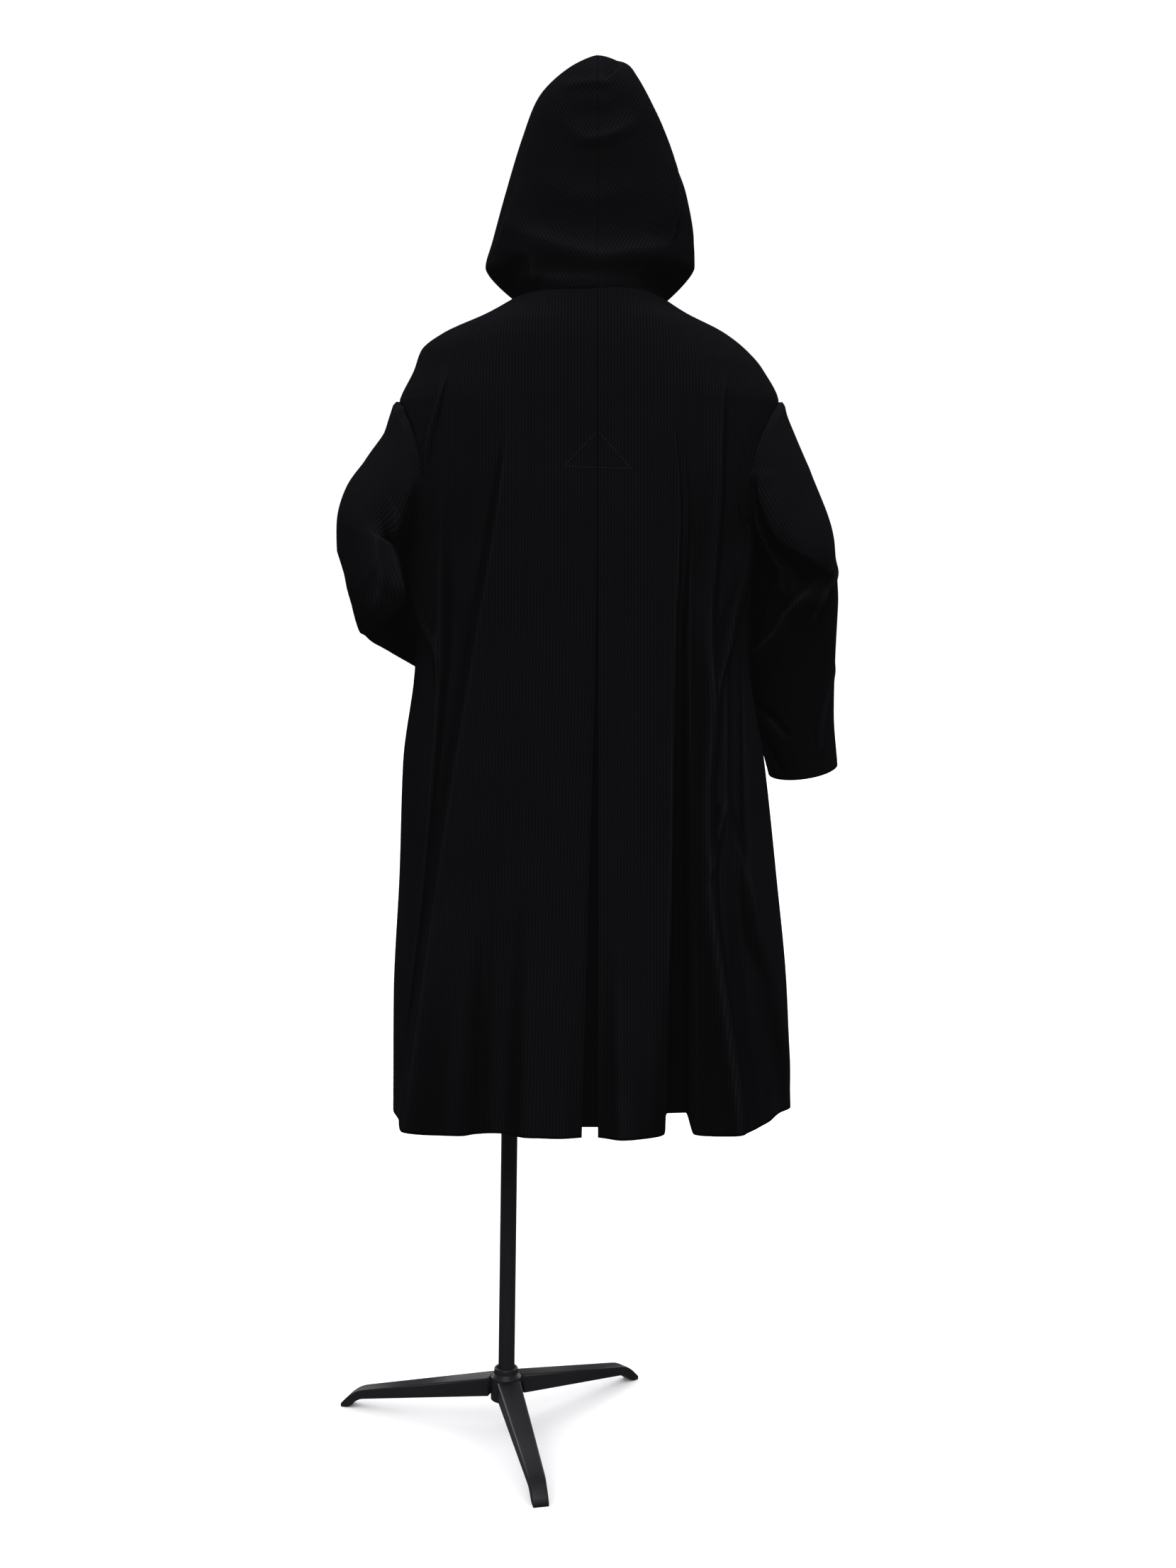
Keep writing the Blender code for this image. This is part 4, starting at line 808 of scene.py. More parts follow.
def sleeve_grid(sections, creases, side):
    """A sleeve as rings along a curved middle line: ovals square to the line, and towards the
    armhole the armhole's own loop, carried along. Creases and the rolled armhole seam move
    points away from the line. The cut runs round the sleeve and along it; at the sleeve's head
    it runs square to the upper arm, so that the wales stay in line with the arm."""
    table = np.array(sections)
    length = np.concatenate([[0], np.cumsum(np.linalg.norm(np.diff(table[:, :3], axis=0), axis=1))])
    at = np.linspace(0, length[-1], SLEEVE_STEPS + 1)
    line = glide(length, table, at)
    middle = line[:, :3]
    loop = armhole_loop(side)
    centre = loop.mean(axis=0)
    inward = centre - loop
    loop = loop + SLEEVE_GAP * inward / np.linalg.norm(inward, axis=1, keepdims=True)
    ahead = np.gradient(middle, axis=0)
    ahead /= np.linalg.norm(ahead, axis=1, keepdims=True)
    back = np.array([0.0, 1.0, 0.0])
    turn = 2 * np.pi * np.arange(len(loop)) / len(loop)
    grid = np.empty((SLEEVE_STEPS + 1, len(loop), 3))
    for i in range(SLEEVE_STEPS + 1):
        back = back - ahead[i] * np.dot(back, ahead[i])
        back /= np.linalg.norm(back)
        out = np.cross(ahead[i], back) * side
        oval = (
            middle[i]
            + line[i, 3] * np.cos(turn)[:, None] * out
            + line[i, 4] * np.sin(turn)[:, None] * back
        )
        left = line[i, 5]
        grid[i] = left * (loop - centre + middle[i]) + (1 - left) * oval
    grid[0] = loop
    inside = np.broadcast_to(middle[:, None, :], grid.shape)
    girth = np.pi * (line[:, 3].mean() + line[:, 4].mean())
    round_it = np.degrees(turn)[None, :] * girth / 360
    along = at[:, None]
    relief = crease_relief(creases, round_it, along, (girth / 360, length[-1]))
    tuck = np.exp(-((along / SLEEVE_TUCK_WIDTH) ** 2))
    relief = relief - SLEEVE_TUCK_DEEP * tuck
    away = grid - inside
    away /= np.linalg.norm(away, axis=-1, keepdims=True)
    grid[..., 0] -= side * SLEEVE_TUCK * tuck
    lean = math.radians(SLEEVE_WALES_LEAN)
    off = grid - middle[round(SLEEVE_WALES_FROM * SLEEVE_STEPS)]
    across = side * math.cos(lean) * off[..., 0] + math.sin(lean) * off[..., 2]
    head = np.where(turn <= np.pi, girth / 4 - across, 3 * girth / 4 + across)
    round_cut = head + (round_it - head) * ease(along / (SLEEVE_WALES_FROM * length[-1]))
    round_cut = np.hstack([round_cut, round_cut[:, :1] + girth])
    cut = np.stack(np.broadcast_arrays(round_cut, along), -1)
    return grid + away * relief[..., None], inside, cut


def hood_grid(side):
    """Half of the hood: level sections from the neck seam to the crown, evenly spaced up the centre
    back, each from the centre seam round to the face opening. The last sections shrink onto
    the seam, so the crown is a dome. The cut's first axis lies square to the slanted wales."""
    table = np.array(HOOD_RINGS)
    last = len(HOOD_RINGS) - 1
    fine = np.linspace(0, last, HOOD_FINE * last)
    climbed = glide(np.arange(last + 1), table, fine)
    rise = np.hypot(np.diff(climbed[:, 0]), np.diff(climbed[:, 5]))
    rise = np.concatenate([[0], np.cumsum(rise)])
    climb = np.interp(np.linspace(0, rise[-1], HOOD_ROWS + 1), rise, fine)
    ring = HoodRing(*glide(np.arange(last + 1), table, climb).T[:, :, None])
    angle = np.radians(ring.edge) * np.linspace(0, 1, HOOD_COLUMNS + 1)
    points = on_ring(ring, side * angle)
    run = running_length(points, 1)
    fall = running_length(points, 0)
    relief = crease_relief(HOOD_CREASES, points[..., 0], points[..., 2])
    relief *= ease((np.cos(angle) - HOOD_PLAIN_FROM) / HOOD_FADE)
    relief -= HOOD_ROLL * np.exp(-((run / SEAM_ROLL_WIDTH) ** 2))
    relief -= SEAM_ROLL * np.exp(-((fall / SEAM_ROLL_WIDTH) ** 2))
    points = points + outward(points, np.array(HOOD_INSIDE)) * relief[..., None]
    points[:, 0, 0] = 0.0
    points[..., 2] -= NECK_TUCK * np.exp(-((fall / NECK_TUCK_WIDTH) ** 2))
    lean = math.radians(HOOD_SLANT)
    up = np.broadcast_to(fall[:, :1], run.shape)
    across = run * math.sin(lean) - up * math.cos(lean)
    return points, np.stack([across, run * math.cos(lean) + up * math.sin(lean)], -1)


# Meshes


def coat_shift():
    """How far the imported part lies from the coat's own axes, read from the hub under the pole."""
    low, high = (np.array(corner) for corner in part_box("hub"))
    middle = (low + high) / 2
    return np.array([middle[0] - POLE_X, middle[1] - POLE_Y, 0.0])


def mesh_object(name, points, faces):
    """A smooth object of the given points and faces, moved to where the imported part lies."""
    mesh = bpy.data.meshes.new(name)
    mesh.from_pydata((points.reshape(-1, 3) + coat_shift()).tolist(), [], faces)
    mesh.shade_smooth()
    obj = bpy.data.objects.new(name, mesh)
    bpy.context.scene.collection.objects.link(obj)
    return obj


def surface(name, points, inside=None, cut=None, wrap=False, caps=()):
    """An object of a grid's quads, facing away from the inside points, closed round if it wraps and
    closed at the rows named in caps (0 the first, -1 the last). The cut becomes its UV map."""
    rows, columns = points.shape[:2]
    index = np.arange(rows * columns).reshape(rows, columns)
    if wrap:
        index = np.hstack([index, index[:, :1]])
    corner = np.arange(index.size).reshape(index.shape)
    quads = np.stack([index[:-1, :-1], index[:-1, 1:], index[1:, 1:], index[1:, :-1]], -1)
    places = np.stack([corner[:-1, :-1], corner[:-1, 1:], corner[1:, 1:], corner[1:, :-1]], -1)
    quads, places = quads.reshape(-1, 4), places.reshape(-1, 4)
    if inside is None:
        inside = points.mean(axis=1, keepdims=True)
    at = points.reshape(-1, 3)[quads]
    facing = np.cross(at[:, 2] - at[:, 0], at[:, 3] - at[:, 1])
    within = np.broadcast_to(inside, points.shape).reshape(-1, 3)[quads]
    away = at.mean(axis=1) - within.mean(axis=1)
    outside_in = np.sum(facing * away) < 0
    if outside_in:
        quads, places = quads[:, ::-1], places[:, ::-1]
    faces = quads.tolist()
    for row in caps:
        rim = index[row, :columns].tolist()
        faces.append(rim if outside_in == (row == 0) else rim[::-1])
    obj = mesh_object(name, points, faces)
    if cut is not None:
        layer = obj.data.uv_layers.new(name="cut")
        layer.data.foreach_set("uv", cut.reshape(-1, 2)[places].astype(np.float32).ravel())
    return obj


def thicken(obj, thickness):
    """Gives a surface its wall, on its inner side."""
    wall = obj.modifiers.new("wall", "SOLIDIFY")
    wall.thickness = thickness
    wall.offset = -1.0
    return obj


def cloth_piece(name, points, inside, cut, wrap=False, walls=0.0):
    """A cloth shell that stands for the solid of the same name. Its colour gets a painted highlight
    on sharp crests and painted shade in sharp valleys and on the walls of folds."""
    settings = bpy.context.scene.coat_settings
    node = "pleat_underlay" if name == "underlay" else name
    obj = surface("cloth_" + name, points, inside, cut, wrap)
    # The bend attribute drives the painted highlight on crests and the painted shade in valleys and
    # on the walls of folds
    layer = obj.data.attributes.new("bend", "FLOAT", "POINT")
    inside = np.broadcast_to(inside, points.shape)
    value = np.clip(bend(points, inside, wrap) - walls, -1, 1)
    layer.data.foreach_set("value", value.astype(np.float32).ravel())
    thicken(obj, settings.cloth_wall)
    obj.data.materials.append(material("black fine-wale cotton corduroy", corduroy))
    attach(obj, "root")
    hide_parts(node)
    return obj


def stitch_row(name, paths):
    """Stitches along lines of (points, normals): each a small closed spindle of thread, longer than
    it is wide, laid along its line at an even pitch. A spindle's rings shrink to its ends."""
    sides = STITCH_SIDES
    rings = np.linspace(-1, 1, sides)
    turn = 2 * np.pi * np.arange(sides) / sides
    swell = np.sqrt(1 - (STITCH_TIP * rings) ** 2)[:, None]
    shapes = []
    for points, normals in paths:
        run = running_length(points, 0)
        at = np.arange(STITCH_PITCH / 2, run[-1], STITCH_PITCH)
        middle, up, ahead = (
            np.stack([np.interp(at, run, column) for column in values.T], -1)
            for values in (points, normals, np.gradient(points, axis=0))
        )
        ahead /= np.linalg.norm(ahead, axis=1, keepdims=True)
        up /= np.linalg.norm(up, axis=1, keepdims=True)
        aside = np.cross(up, ahead)
        middle, up, ahead, aside = (v[:, None, None, :] for v in (middle, up, ahead, aside))
        shapes.append(
            middle
            + ahead * (rings[:, None, None] * STITCH_LENGTH / 2)
            + aside * (swell * np.cos(turn) * STITCH_WIDTH / 2)[..., None]
            + up * (swell * np.sin(turn) * STITCH_WIDTH / 3 + STITCH_LIFT)[..., None]
        )
    grid = np.concatenate(shapes)
    count = len(grid)
    index = np.arange(count * sides**2).reshape(count, sides, sides)
    index = np.concatenate([index, index[:, :, :1]], -1)
    quads = np.stack(
        [index[:, :-1, :-1], index[:, 1:, :-1], index[:, 1:, 1:], index[:, :-1, 1:]], -1
    ).reshape(-1, 4)
    ends = np.concatenate([index[:, 0, :sides], index[:, -1, sides - 1 :: -1]])
    obj = mesh_object(name, grid, quads.tolist() + ends.tolist())
    obj.data.materials.append(material("black spun polyester thread", sewing_thread))
    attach(obj, "root")
    return obj


def on_cloth(points, normals, x, z):
    """Places and normals of a panel at the given X and Z: the mean of the four nearest grid points,
    weighted by their nearness."""
    flat, up = points.reshape(-1, 3), normals.reshape(-1, 3)
    far = np.hypot(flat[None, :, 0] - x[:, None], flat[None, :, 2] - z[:, None])
    near = np.argpartition(far, 4, axis=1)[:, :4]
    weight = 1 / (np.take_along_axis(far, near, 1) + STITCH_BLEND)
    weight = (weight / weight.sum(axis=1, keepdims=True))[..., None]
    place = np.sum(flat[near] * weight, axis=1)
    return np.stack([x, place[:, 1], z], -1), np.sum(up[near] * weight, axis=1)


def rounded(points, radius, steps, closed=False):
    """A line with its corners cut by parabolas that start the given distance before each corner."""
    points = np.asarray(points, float)
    before = np.roll(points, 1, axis=0) - points
    after = np.roll(points, -1, axis=0) - points
    reach = [
        np.minimum(radius / np.maximum(np.linalg.norm(v, axis=1), 1e-9), CORNER_SHARE)[:, None]
        for v in (before, after)
    ]
    start, end = points + before * reach[0], points + after * reach[1]
    t = np.linspace(0, 1, steps)[None, :, None]
    arcs = (1 - t) ** 2 * start[:, None] + 2 * t * (1 - t) * points[:, None] + t**2 * end[:, None]
    if closed:
        return arcs.reshape(-1, points.shape[1])
    return np.concatenate([points[:1], arcs[1:-1].reshape(-1, points.shape[1]), points[-1:]])


def turned(profile, foot, lean):
    """Rings of a profile of radius and height turned about an axis through the foot that leans by
    the given degrees towards +X."""
    turn = 2 * np.pi * np.arange(TURN_STEPS) / TURN_STEPS
    radius, height = profile[:, :1], profile[:, 1:]
    c, s = math.cos(math.radians(lean)), math.sin(math.radians(lean))
    x, y = radius * np.cos(turn), radius * np.sin(turn)
    up = np.broadcast_to(height, x.shape)
    return np.stack([foot[0] + x * c + up * s, foot[1] + y, foot[2] + up * c - x * s], -1)


# Materials

MM = 0.001  # sizes in a pattern are given in millimetres
GROOVE_TONE = 0.42  # painted shade of the grooves between the wales: their tone as a share of the ribs'


def linear(code):
    """An sRGB hex colour as linear red, green and blue."""
    value = np.array([int(code[i : i + 2], 16) for i in (1, 3, 5)]) / 255
    return tuple(np.where(value <= 0.04045, value / 12.92, ((value + 0.055) / 1.055) ** 2.4))


def toned(colour, share=1.0):
    """A colour paler or darker by a share, with the alpha that a socket needs."""
    return (*(share * c for c in colour), 1.0)


def add(tree, kind, sockets=None, **settings):
    """Adds a node with its settings; each named or numbered socket gets a constant or a link."""
    made = tree.nodes.new(kind)
    for key, value in settings.items():
        setattr(made, key, value)
    for socket, value in (sockets or {}).items():
        if isinstance(value, bpy.types.NodeSocket):
            tree.links.new(value, made.inputs[socket])
        else:
            made.inputs[socket].default_value = value
    return made


def material(name, build):
    """The material of that name. At its first use the given function builds its nodes."""
    made = bpy.data.materials.get(name)
    if made is None:
        made = bpy.data.materials.new(name)
        made.use_nodes = True
        made.node_tree.nodes.clear()
        shader = build(made.node_tree)
        add(made.node_tree, "ShaderNodeOutputMaterial", {"Surface": shader.outputs["BSDF"]})
    return made


def corduroy(tree):
    """Fine-wale cotton corduroy, cut pile, dyed black. The ribs catch a little light on their round
    tops and swallow it in the grooves, which are drawn darker as painted shade; the pile lies
    unevenly in soft patches and has a faint cool bloom. The colour has a painted highlight along
    sharp crests and painted shade in valleys and on the walls of folds."""
    settings = bpy.context.scene.coat_settings
    # Painted shade: the grooves between the wales are drawn darker than the ribs
    rib, groove = toned(settings.cloth_colour), toned(settings.cloth_colour, GROOVE_TONE)
    cut = add(tree, "ShaderNodeUVMap", uv_map="cut")
    axes = add(tree, "ShaderNodeSeparateXYZ", {0: cut.outputs["UV"]})
    # A wale of 2.5 mm is finer than the picture can show, so it is drawn coarser
    turns = {0: axes.outputs["X"], 1: math.pi / settings.wale_pitch}
    phase = add(tree, "ShaderNodeMath", turns, operation="MULTIPLY")
    wave = add(tree, "ShaderNodeMath", {0: phase.outputs[0]}, operation="SINE")
    wale = add(tree, "ShaderNodeMath", {0: wave.outputs[0]}, operation="ABSOLUTE").outputs[0]
    place = add(tree, "ShaderNodeTexCoord").outputs["Object"]
    # Patches of pile about 70 mm wide, and tufts of about 2 mm
    patches = add(
        tree,
        "ShaderNodeTexNoise",
        {"Vector": place, "Scale": 1 / (70 * MM), "Detail": 3.0, "Roughness": 0.55},
    )
    tufts = add(
        tree, "ShaderNodeTexNoise", {"Vector": place, "Scale": 1 / (2 * MM), "Detail": 1.0}
    )
    cloth = add(tree, "ShaderNodeMix", {0: wale, 6: groove, 7: rib}, data_type="RGBA")
    nap = add(
        tree, "ShaderNodeMapRange", {0: patches.outputs["Fac"], 1: 0.3, 2: 0.7, 3: 0.92, 4: 1.08}
    )
    # Painted highlight on sharp crests and painted shade in sharp valleys and on the walls of
    # folds, from the bend attribute
    bent = add(tree, "ShaderNodeAttribute", attribute_name="bend").outputs["Fac"]
    crest_lit = add(
        tree, "ShaderNodeMapRange", {0: bent, 1: 0.0, 2: 1.0, 3: 1.0, 4: 1 + settings.crest_wear}
    )
    closed = add(
        tree, "ShaderNodeMapRange", {0: bent, 1: -1.0, 2: 0.0, 3: 1 - settings.valley_shade, 4: 1.0}
    )
    folds = {0: crest_lit.outputs[0], 1: closed.outputs[0]}
    folds = add(tree, "ShaderNodeMath", folds, operation="MULTIPLY")
    tone = {0: nap.outputs[0], 1: folds.outputs[0]}
    tone = add(tree, "ShaderNodeMath", tone, operation="MULTIPLY")
    colour = {0: cloth.outputs[2], 3: tone.outputs[0]}
    colour = add(tree, "ShaderNodeVectorMath", colour, operation="SCALE")
    pile = {0: tufts.outputs["Fac"], 1: 0.35, 2: wale}
    pile = add(tree, "ShaderNodeMath", pile, operation="MULTIPLY_ADD")
    bump = add(
        tree, "ShaderNodeBump", {"Height": pile.outputs[0], "Strength": 0.55, "Distance": 0.7 * MM}
    )
    return add(
        tree,
        "ShaderNodeBsdfPrincipled",
        {
            "Base Color": colour.outputs[0],
            "Roughness": 0.92,
            "Specular IOR Level": 0.0,
            "Sheen Weight": settings.cloth_bloom,
            "Sheen Roughness": 0.45,
            "Sheen Tint": toned(linear("#d4d6ff")),
            "Normal": bump.outputs[0],
        },
    )


def sewing_thread(tree):
    """Spun polyester sewing thread, black. Its twist gives a slight dull gleam over the pile."""
    thread = bpy.context.scene.coat_settings.thread_colour
    place = add(tree, "ShaderNodeTexCoord").outputs["Object"]
    # Turns of the twist of about 0.6 mm
    twist = add(
        tree, "ShaderNodeTexNoise", {"Vector": place, "Scale": 1 / (0.6 * MM), "Detail": 1.0}
    )
    tones = {0: twist.outputs["Fac"], 6: toned(thread, 0.7), 7: toned(thread, 1.3)}
    colour = add(tree, "ShaderNodeMix", tones, data_type="RGBA")
    return add(
        tree,
        "ShaderNodeBsdfPrincipled",
        {"Base Color": colour.outputs[2], "Roughness": 0.6, "Specular IOR Level": 0.02},
    )


def jersey_cover(tree):
    """Charcoal cotton jersey stretched over a papier-mache shell: matt, clouded where it is drawn
    tight, with the fine loops of its knit."""
    cover = bpy.context.scene.coat_settings.form_colour
    place = add(tree, "ShaderNodeTexCoord").outputs["Object"]
    # Clouds about 30 mm wide
    cloud = add(
        tree, "ShaderNodeTexNoise", {"Vector": place, "Scale": 1 / (30 * MM), "Detail": 3.0}
    )
    # Knit loops of about 1.2 mm, drawn at 3 mm because they would be too fine to show
    knit = add(tree, "ShaderNodeTexVoronoi", {"Vector": place, "Scale": 1 / (3 * MM)})
    tones = {0: cloud.outputs["Fac"], 6: toned(cover, 0.8), 7: toned(cover, 1.15)}
    colour = add(tree, "ShaderNodeMix", tones, data_type="RGBA")
    relief = {"Height": knit.outputs["Distance"], "Strength": 0.35, "Distance": 0.4 * MM}
    bump = add(tree, "ShaderNodeBump", relief)
    return add(
        tree,
        "ShaderNodeBsdfPrincipled",
        {
            "Base Color": colour.outputs[2],
            "Roughness": 0.88,
            "Specular IOR Level": 0.05,
            "Sheen Weight": 0.05,
            "Normal": bump.outputs[0],
        },
    )


def painted_steel(tree):
    """Steel tube and cast legs, sprayed with dark grey satin enamel: a soft gleam, a faint orange
    peel from the spray and a slightly uneven sheen where it was handled."""
    paint = bpy.context.scene.coat_settings.stand_colour
    place = add(tree, "ShaderNodeTexCoord").outputs["Object"]
    # Handled patches about 50 mm wide, and the spray's orange peel, 2 mm from crest to crest
    handled = add(
        tree, "ShaderNodeTexNoise", {"Vector": place, "Scale": 1 / (50 * MM), "Detail": 4.0}
    ).outputs["Fac"]
    peel = add(
        tree, "ShaderNodeTexNoise", {"Vector": place, "Scale": 1 / (2 * MM), "Detail": 2.0}
    )
    tones = {0: handled, 6: toned(paint, 0.85), 7: toned(paint, 1.15)}
    colour = add(tree, "ShaderNodeMix", tones, data_type="RGBA")
    rough = add(tree, "ShaderNodeMapRange", {0: handled, 1: 0.3, 2: 0.7, 3: 0.34, 4: 0.46})
    relief = {"Height": peel.outputs["Fac"], "Strength": 0.12, "Distance": 0.3 * MM}
    bump = add(tree, "ShaderNodeBump", relief)
    return add(
        tree,
        "ShaderNodeBsdfPrincipled",
        {
            "Base Color": colour.outputs[2],
            "Roughness": rough.outputs[0],
            "IOR": 1.5,
            "Specular IOR Level": 0.12,
            "Normal": bump.outputs[0],
        },
    )


def floor_paint(tree):
    """White matt emulsion on a studio floor: even, with hardly any gleam."""
    place = add(tree, "ShaderNodeTexCoord").outputs["Object"]
    # Tracks of a roller 250 mm wide
    roller = add(
        tree, "ShaderNodeTexNoise", {"Vector": place, "Scale": 1 / (250 * MM), "Detail": 2.0}
    )
    tones = {0: roller.outputs["Fac"], 6: toned(linear("#f3f3f5")), 7: toned(linear("#f7f7f8"))}
    colour = add(tree, "ShaderNodeMix", tones, data_type="RGBA")
    return add(
        tree,
        "ShaderNodeBsdfPrincipled",
        {"Base Color": colour.outputs[2], "Roughness": 0.95, "Specular IOR Level": 0.0},
    )


# Settings


class CoatSettings(bpy.types.PropertyGroup):
    """Sizes and colours of the coat and its stand."""

    wale_pitch: bpy.props.FloatProperty(
        name="Wale pitch",
        description="Distance between two ribs of the corduroy, as drawn",
        default=0.0042,
        min=0.001,
        max=0.02,
        unit="LENGTH",
    )
    cloth_wall: bpy.props.FloatProperty(
        name="Cloth thickness",
        description="Thickness of the cloth shells",
        default=0.0017,
        min=0.0005,
        max=0.003,
        unit="LENGTH",
    )
    crease_depth: bpy.props.FloatProperty(
        name="Crease depth",
        description="Share of the depth of the creases placed on the cloth",
        default=1.0,
        min=0.0,
        max=1.5,
        subtype="FACTOR",
    )
    # Painted highlight: the colour made paler on sharp crests, for the light they catch
    crest_wear: bpy.props.FloatProperty(
        name="Crest highlight",
        description="How much paler the pile is on a sharp crest",
        default=0.75,
        min=0.0,
        max=3.0,
    )
    # Painted shade: the colour made darker in sharp valleys and on the walls of folds
    valley_shade: bpy.props.FloatProperty(
        name="Valley shade",
        description="How much darker the pile is in a sharp valley",
        default=0.6,
        min=0.0,
        max=1.0,
        subtype="FACTOR",
    )
    cloth_bloom: bpy.props.FloatProperty(
        name="Cloth bloom",
        description="Sheen of the standing pile",
        default=0.0025,
        min=0.0,
        max=1.0,
        subtype="FACTOR",
    )
    cloth_colour: bpy.props.FloatVectorProperty(
        name="Cloth", description="Colour of the ribs", subtype="COLOR", default=linear("#0d0d10")
    )
    thread_colour: bpy.props.FloatVectorProperty(
        name="Thread", description="Colour of its fibre", subtype="COLOR", default=linear("#1d1d21")
    )
    form_colour: bpy.props.FloatVectorProperty(
        name="Form", description="Colour of its cover", subtype="COLOR", default=linear("#2c2b2e")
    )
    stand_colour: bpy.props.FloatVectorProperty(
        name="Stand", description="Colour of its paint", subtype="COLOR", default=linear("#201f23")
    )


class StudioSettings(bpy.types.PropertyGroup):
    """Light of the studio, and stray light in the lens."""

    above: bpy.props.FloatProperty(
        name="Above", description="Light of the studio from above", default=0.16, min=0.0, max=5.0
    )
    below: bpy.props.FloatProperty(
        name="Below", description="Light of the studio from below", default=0.13, min=0.0, max=5.0
    )
    floor_light: bpy.props.FloatProperty(
        name="Floor light", description="Strength of the light on the floor", default=5.0, min=0.0
    )
    key_light: bpy.props.FloatProperty(
        name="Key light", description="Strength of the light by the camera", default=1.1, min=0.0
    )
    top_light: bpy.props.FloatProperty(
        name="Top light", description="Strength of the light over the coat", default=5.6, min=0.0
    )
    front_light: bpy.props.FloatProperty(
        name="Front light",
        description="Strength of each of the two lights before the coat",
        default=1.3,
        min=0.0,
    )
    stand_light: bpy.props.FloatProperty(
        name="Stand light", description="Strength of the light on the stand", default=1.5, min=0.0
    )
    softness: bpy.props.FloatProperty(
        name="Softness",
        description="Angle over which the light comes",
        default=math.radians(40),
        subtype="ANGLE",
    )
    floor_softness: bpy.props.FloatProperty(
        name="Floor softness",
        description="Angle over which the light on the floor comes",
        default=math.radians(150),
        subtype="ANGLE",
    )
    veil: bpy.props.FloatProperty(
        name="Veil", description="Stray light in the lens: it lifts black", default=0.0020, min=0.0
    )


# Operators


class COAT_OT_backs(bpy.types.Operator):
    """Draws the two backs, from the neck seam to the hem"""

    bl_idname = "coat.backs"
    bl_label = "Backs"

    def execute(self, context):
        for name in ("back_left", "back_right"):
            points, cut, walls = dressed_panel(name)
            cloth_piece(name, points, axis_inside(points), cut, walls=walls)
        return {"FINISHED"}


class COAT_OT_fronts(bpy.types.Operator):
    """Draws the two fronts, which lap at the centre"""

    bl_idname = "coat.fronts"
    bl_label = "Fronts"

    def execute(self, context):
        for name in ("front_left", "front_right"):
            points, cut, walls = dressed_panel(name)
            cloth_piece(name, points, axis_inside(points), cut, walls=walls)
        return {"FINISHED"}


class COAT_OT_underlay(bpy.types.Operator):
    """Draws the strip behind the back pleat"""

    bl_idname = "coat.underlay"
    bl_label = "Pleat underlay"

    def execute(self, context):
        points, cut = underlay_grid()
        cloth_piece("underlay", points, points - np.array([0.0, 1.0, 0.0]), cut)
        return {"FINISHED"}


class COAT_OT_pockets(bpy.types.Operator):
    """Draws the patch pockets on the fronts, with their rows of stitches"""

    bl_idname = "coat.pockets"
    bl_label = "Pockets"

    def execute(self, context):
        heights = body_heights()
        rows = np.flatnonzero((heights <= POCKET_TOP_Z) & (heights >= POCKET_LOW_Z))
        for side in ("left", "right"):
            front, cut, walls = dressed_panel("front_" + side)
            lines = PANELS["front_" + side].lines
            columns = panel_columns(PANELS["front_" + side])
            first = [line.name for line in lines].index("hollow")
            across = np.flatnonzero((columns >= first) & (columns < len(lines) - POCKET_EDGE))
            lifted = front + outward(front, axis_inside(front)) * POCKET_LIFT
            pick = np.ix_(rows, across)
            points = lifted[pick]
            inside = axis_inside(points)
            cloth_piece("pocket_" + side, points, inside, cut[pick], walls=walls[pick])
            away = outward(points, inside)
            run = running_length(points, 1)[0]
            fall = running_length(points, 0)[:, 0]
            near = np.searchsorted(run, POCKET_STITCH_IN)
            far = np.searchsorted(run, run[-1] - POCKET_STITCH_IN) - 1
            low = np.searchsorted(fall, fall[-1] - POCKET_STITCH_IN) - 1
            mouth = np.searchsorted(fall, POCKET_MOUTH)
            paths = [
                (points[:low, near], away[:low, near]),
                (points[:low, far], away[:low, far]),
                (points[low, near:far], away[low, near:far]),
                (points[mouth, near:far], away[mouth, near:far]),
            ]
            stitch_row("stitches_pocket_" + side, paths)
        return {"FINISHED"}


class COAT_OT_sleeves(bpy.types.Operator):
    """Draws the two sleeves, the left one bent at the elbow"""

    bl_idname = "coat.sleeves"
    bl_label = "Sleeves"

    def execute(self, context):
        for name, sections, creases, side in (
            ("sleeve_left", SLEEVE_LEFT, SLEEVE_LEFT_CREASES, 1),
            ("sleeve_right", SLEEVE_RIGHT, SLEEVE_RIGHT_CREASES, -1),
        ):
            points, inside, cut = sleeve_grid(sections, creases, side)
            cloth_piece(name, points, inside, cut, wrap=True)
        return {"FINISHED"}


class COAT_OT_hood(bpy.types.Operator):
    """Draws the two halves of the hood"""

    bl_idname = "coat.hood"
    bl_label = "Hood"

    def execute(self, context):
        for name, side in (("hood_left", 1), ("hood_right", -1)):
            points, cut = hood_grid(side)
            cloth_piece(name, points, np.array(HOOD_INSIDE), cut)
        return {"FINISHED"}


class COAT_OT_stitching(bpy.types.Operator):
    """Sews the triangle above the pleat and the edge of the lapped front"""

    bl_idname = "coat.stitching"
    bl_label = "Stitching"

    def execute(self, context):
        paths = []
        t = np.linspace(0, 1, TRIANGLE_STEPS)
        for name, (foot_x, foot_z) in TRIANGLE_FEET.items():
            points = dressed_panel(name)[0]
            away = outward(points, axis_inside(points))
            across, drop = foot_x - TRIANGLE_NEAR, foot_z - TRIANGLE_TOP_Z
            for x, z in (
                (TRIANGLE_NEAR + across * t, TRIANGLE_TOP_Z + drop * t),
                (foot_x - across * t, foot_z + (TRIANGLE_BASE_Z - foot_z) * t),
            ):
                paths.append(on_cloth(points, away, PANELS[name].side * x, z))
        stitch_row("stitches_triangle", paths)
        points = dressed_panel("front_left")[0]
        away = outward(points, axis_inside(points))
        edge = np.searchsorted(running_length(points, 1)[-1], POCKET_STITCH_IN)
        stitch_row("stitches_lap", [(points[2:-1, edge], away[2:-1, edge])])
        return {"FINISHED"}


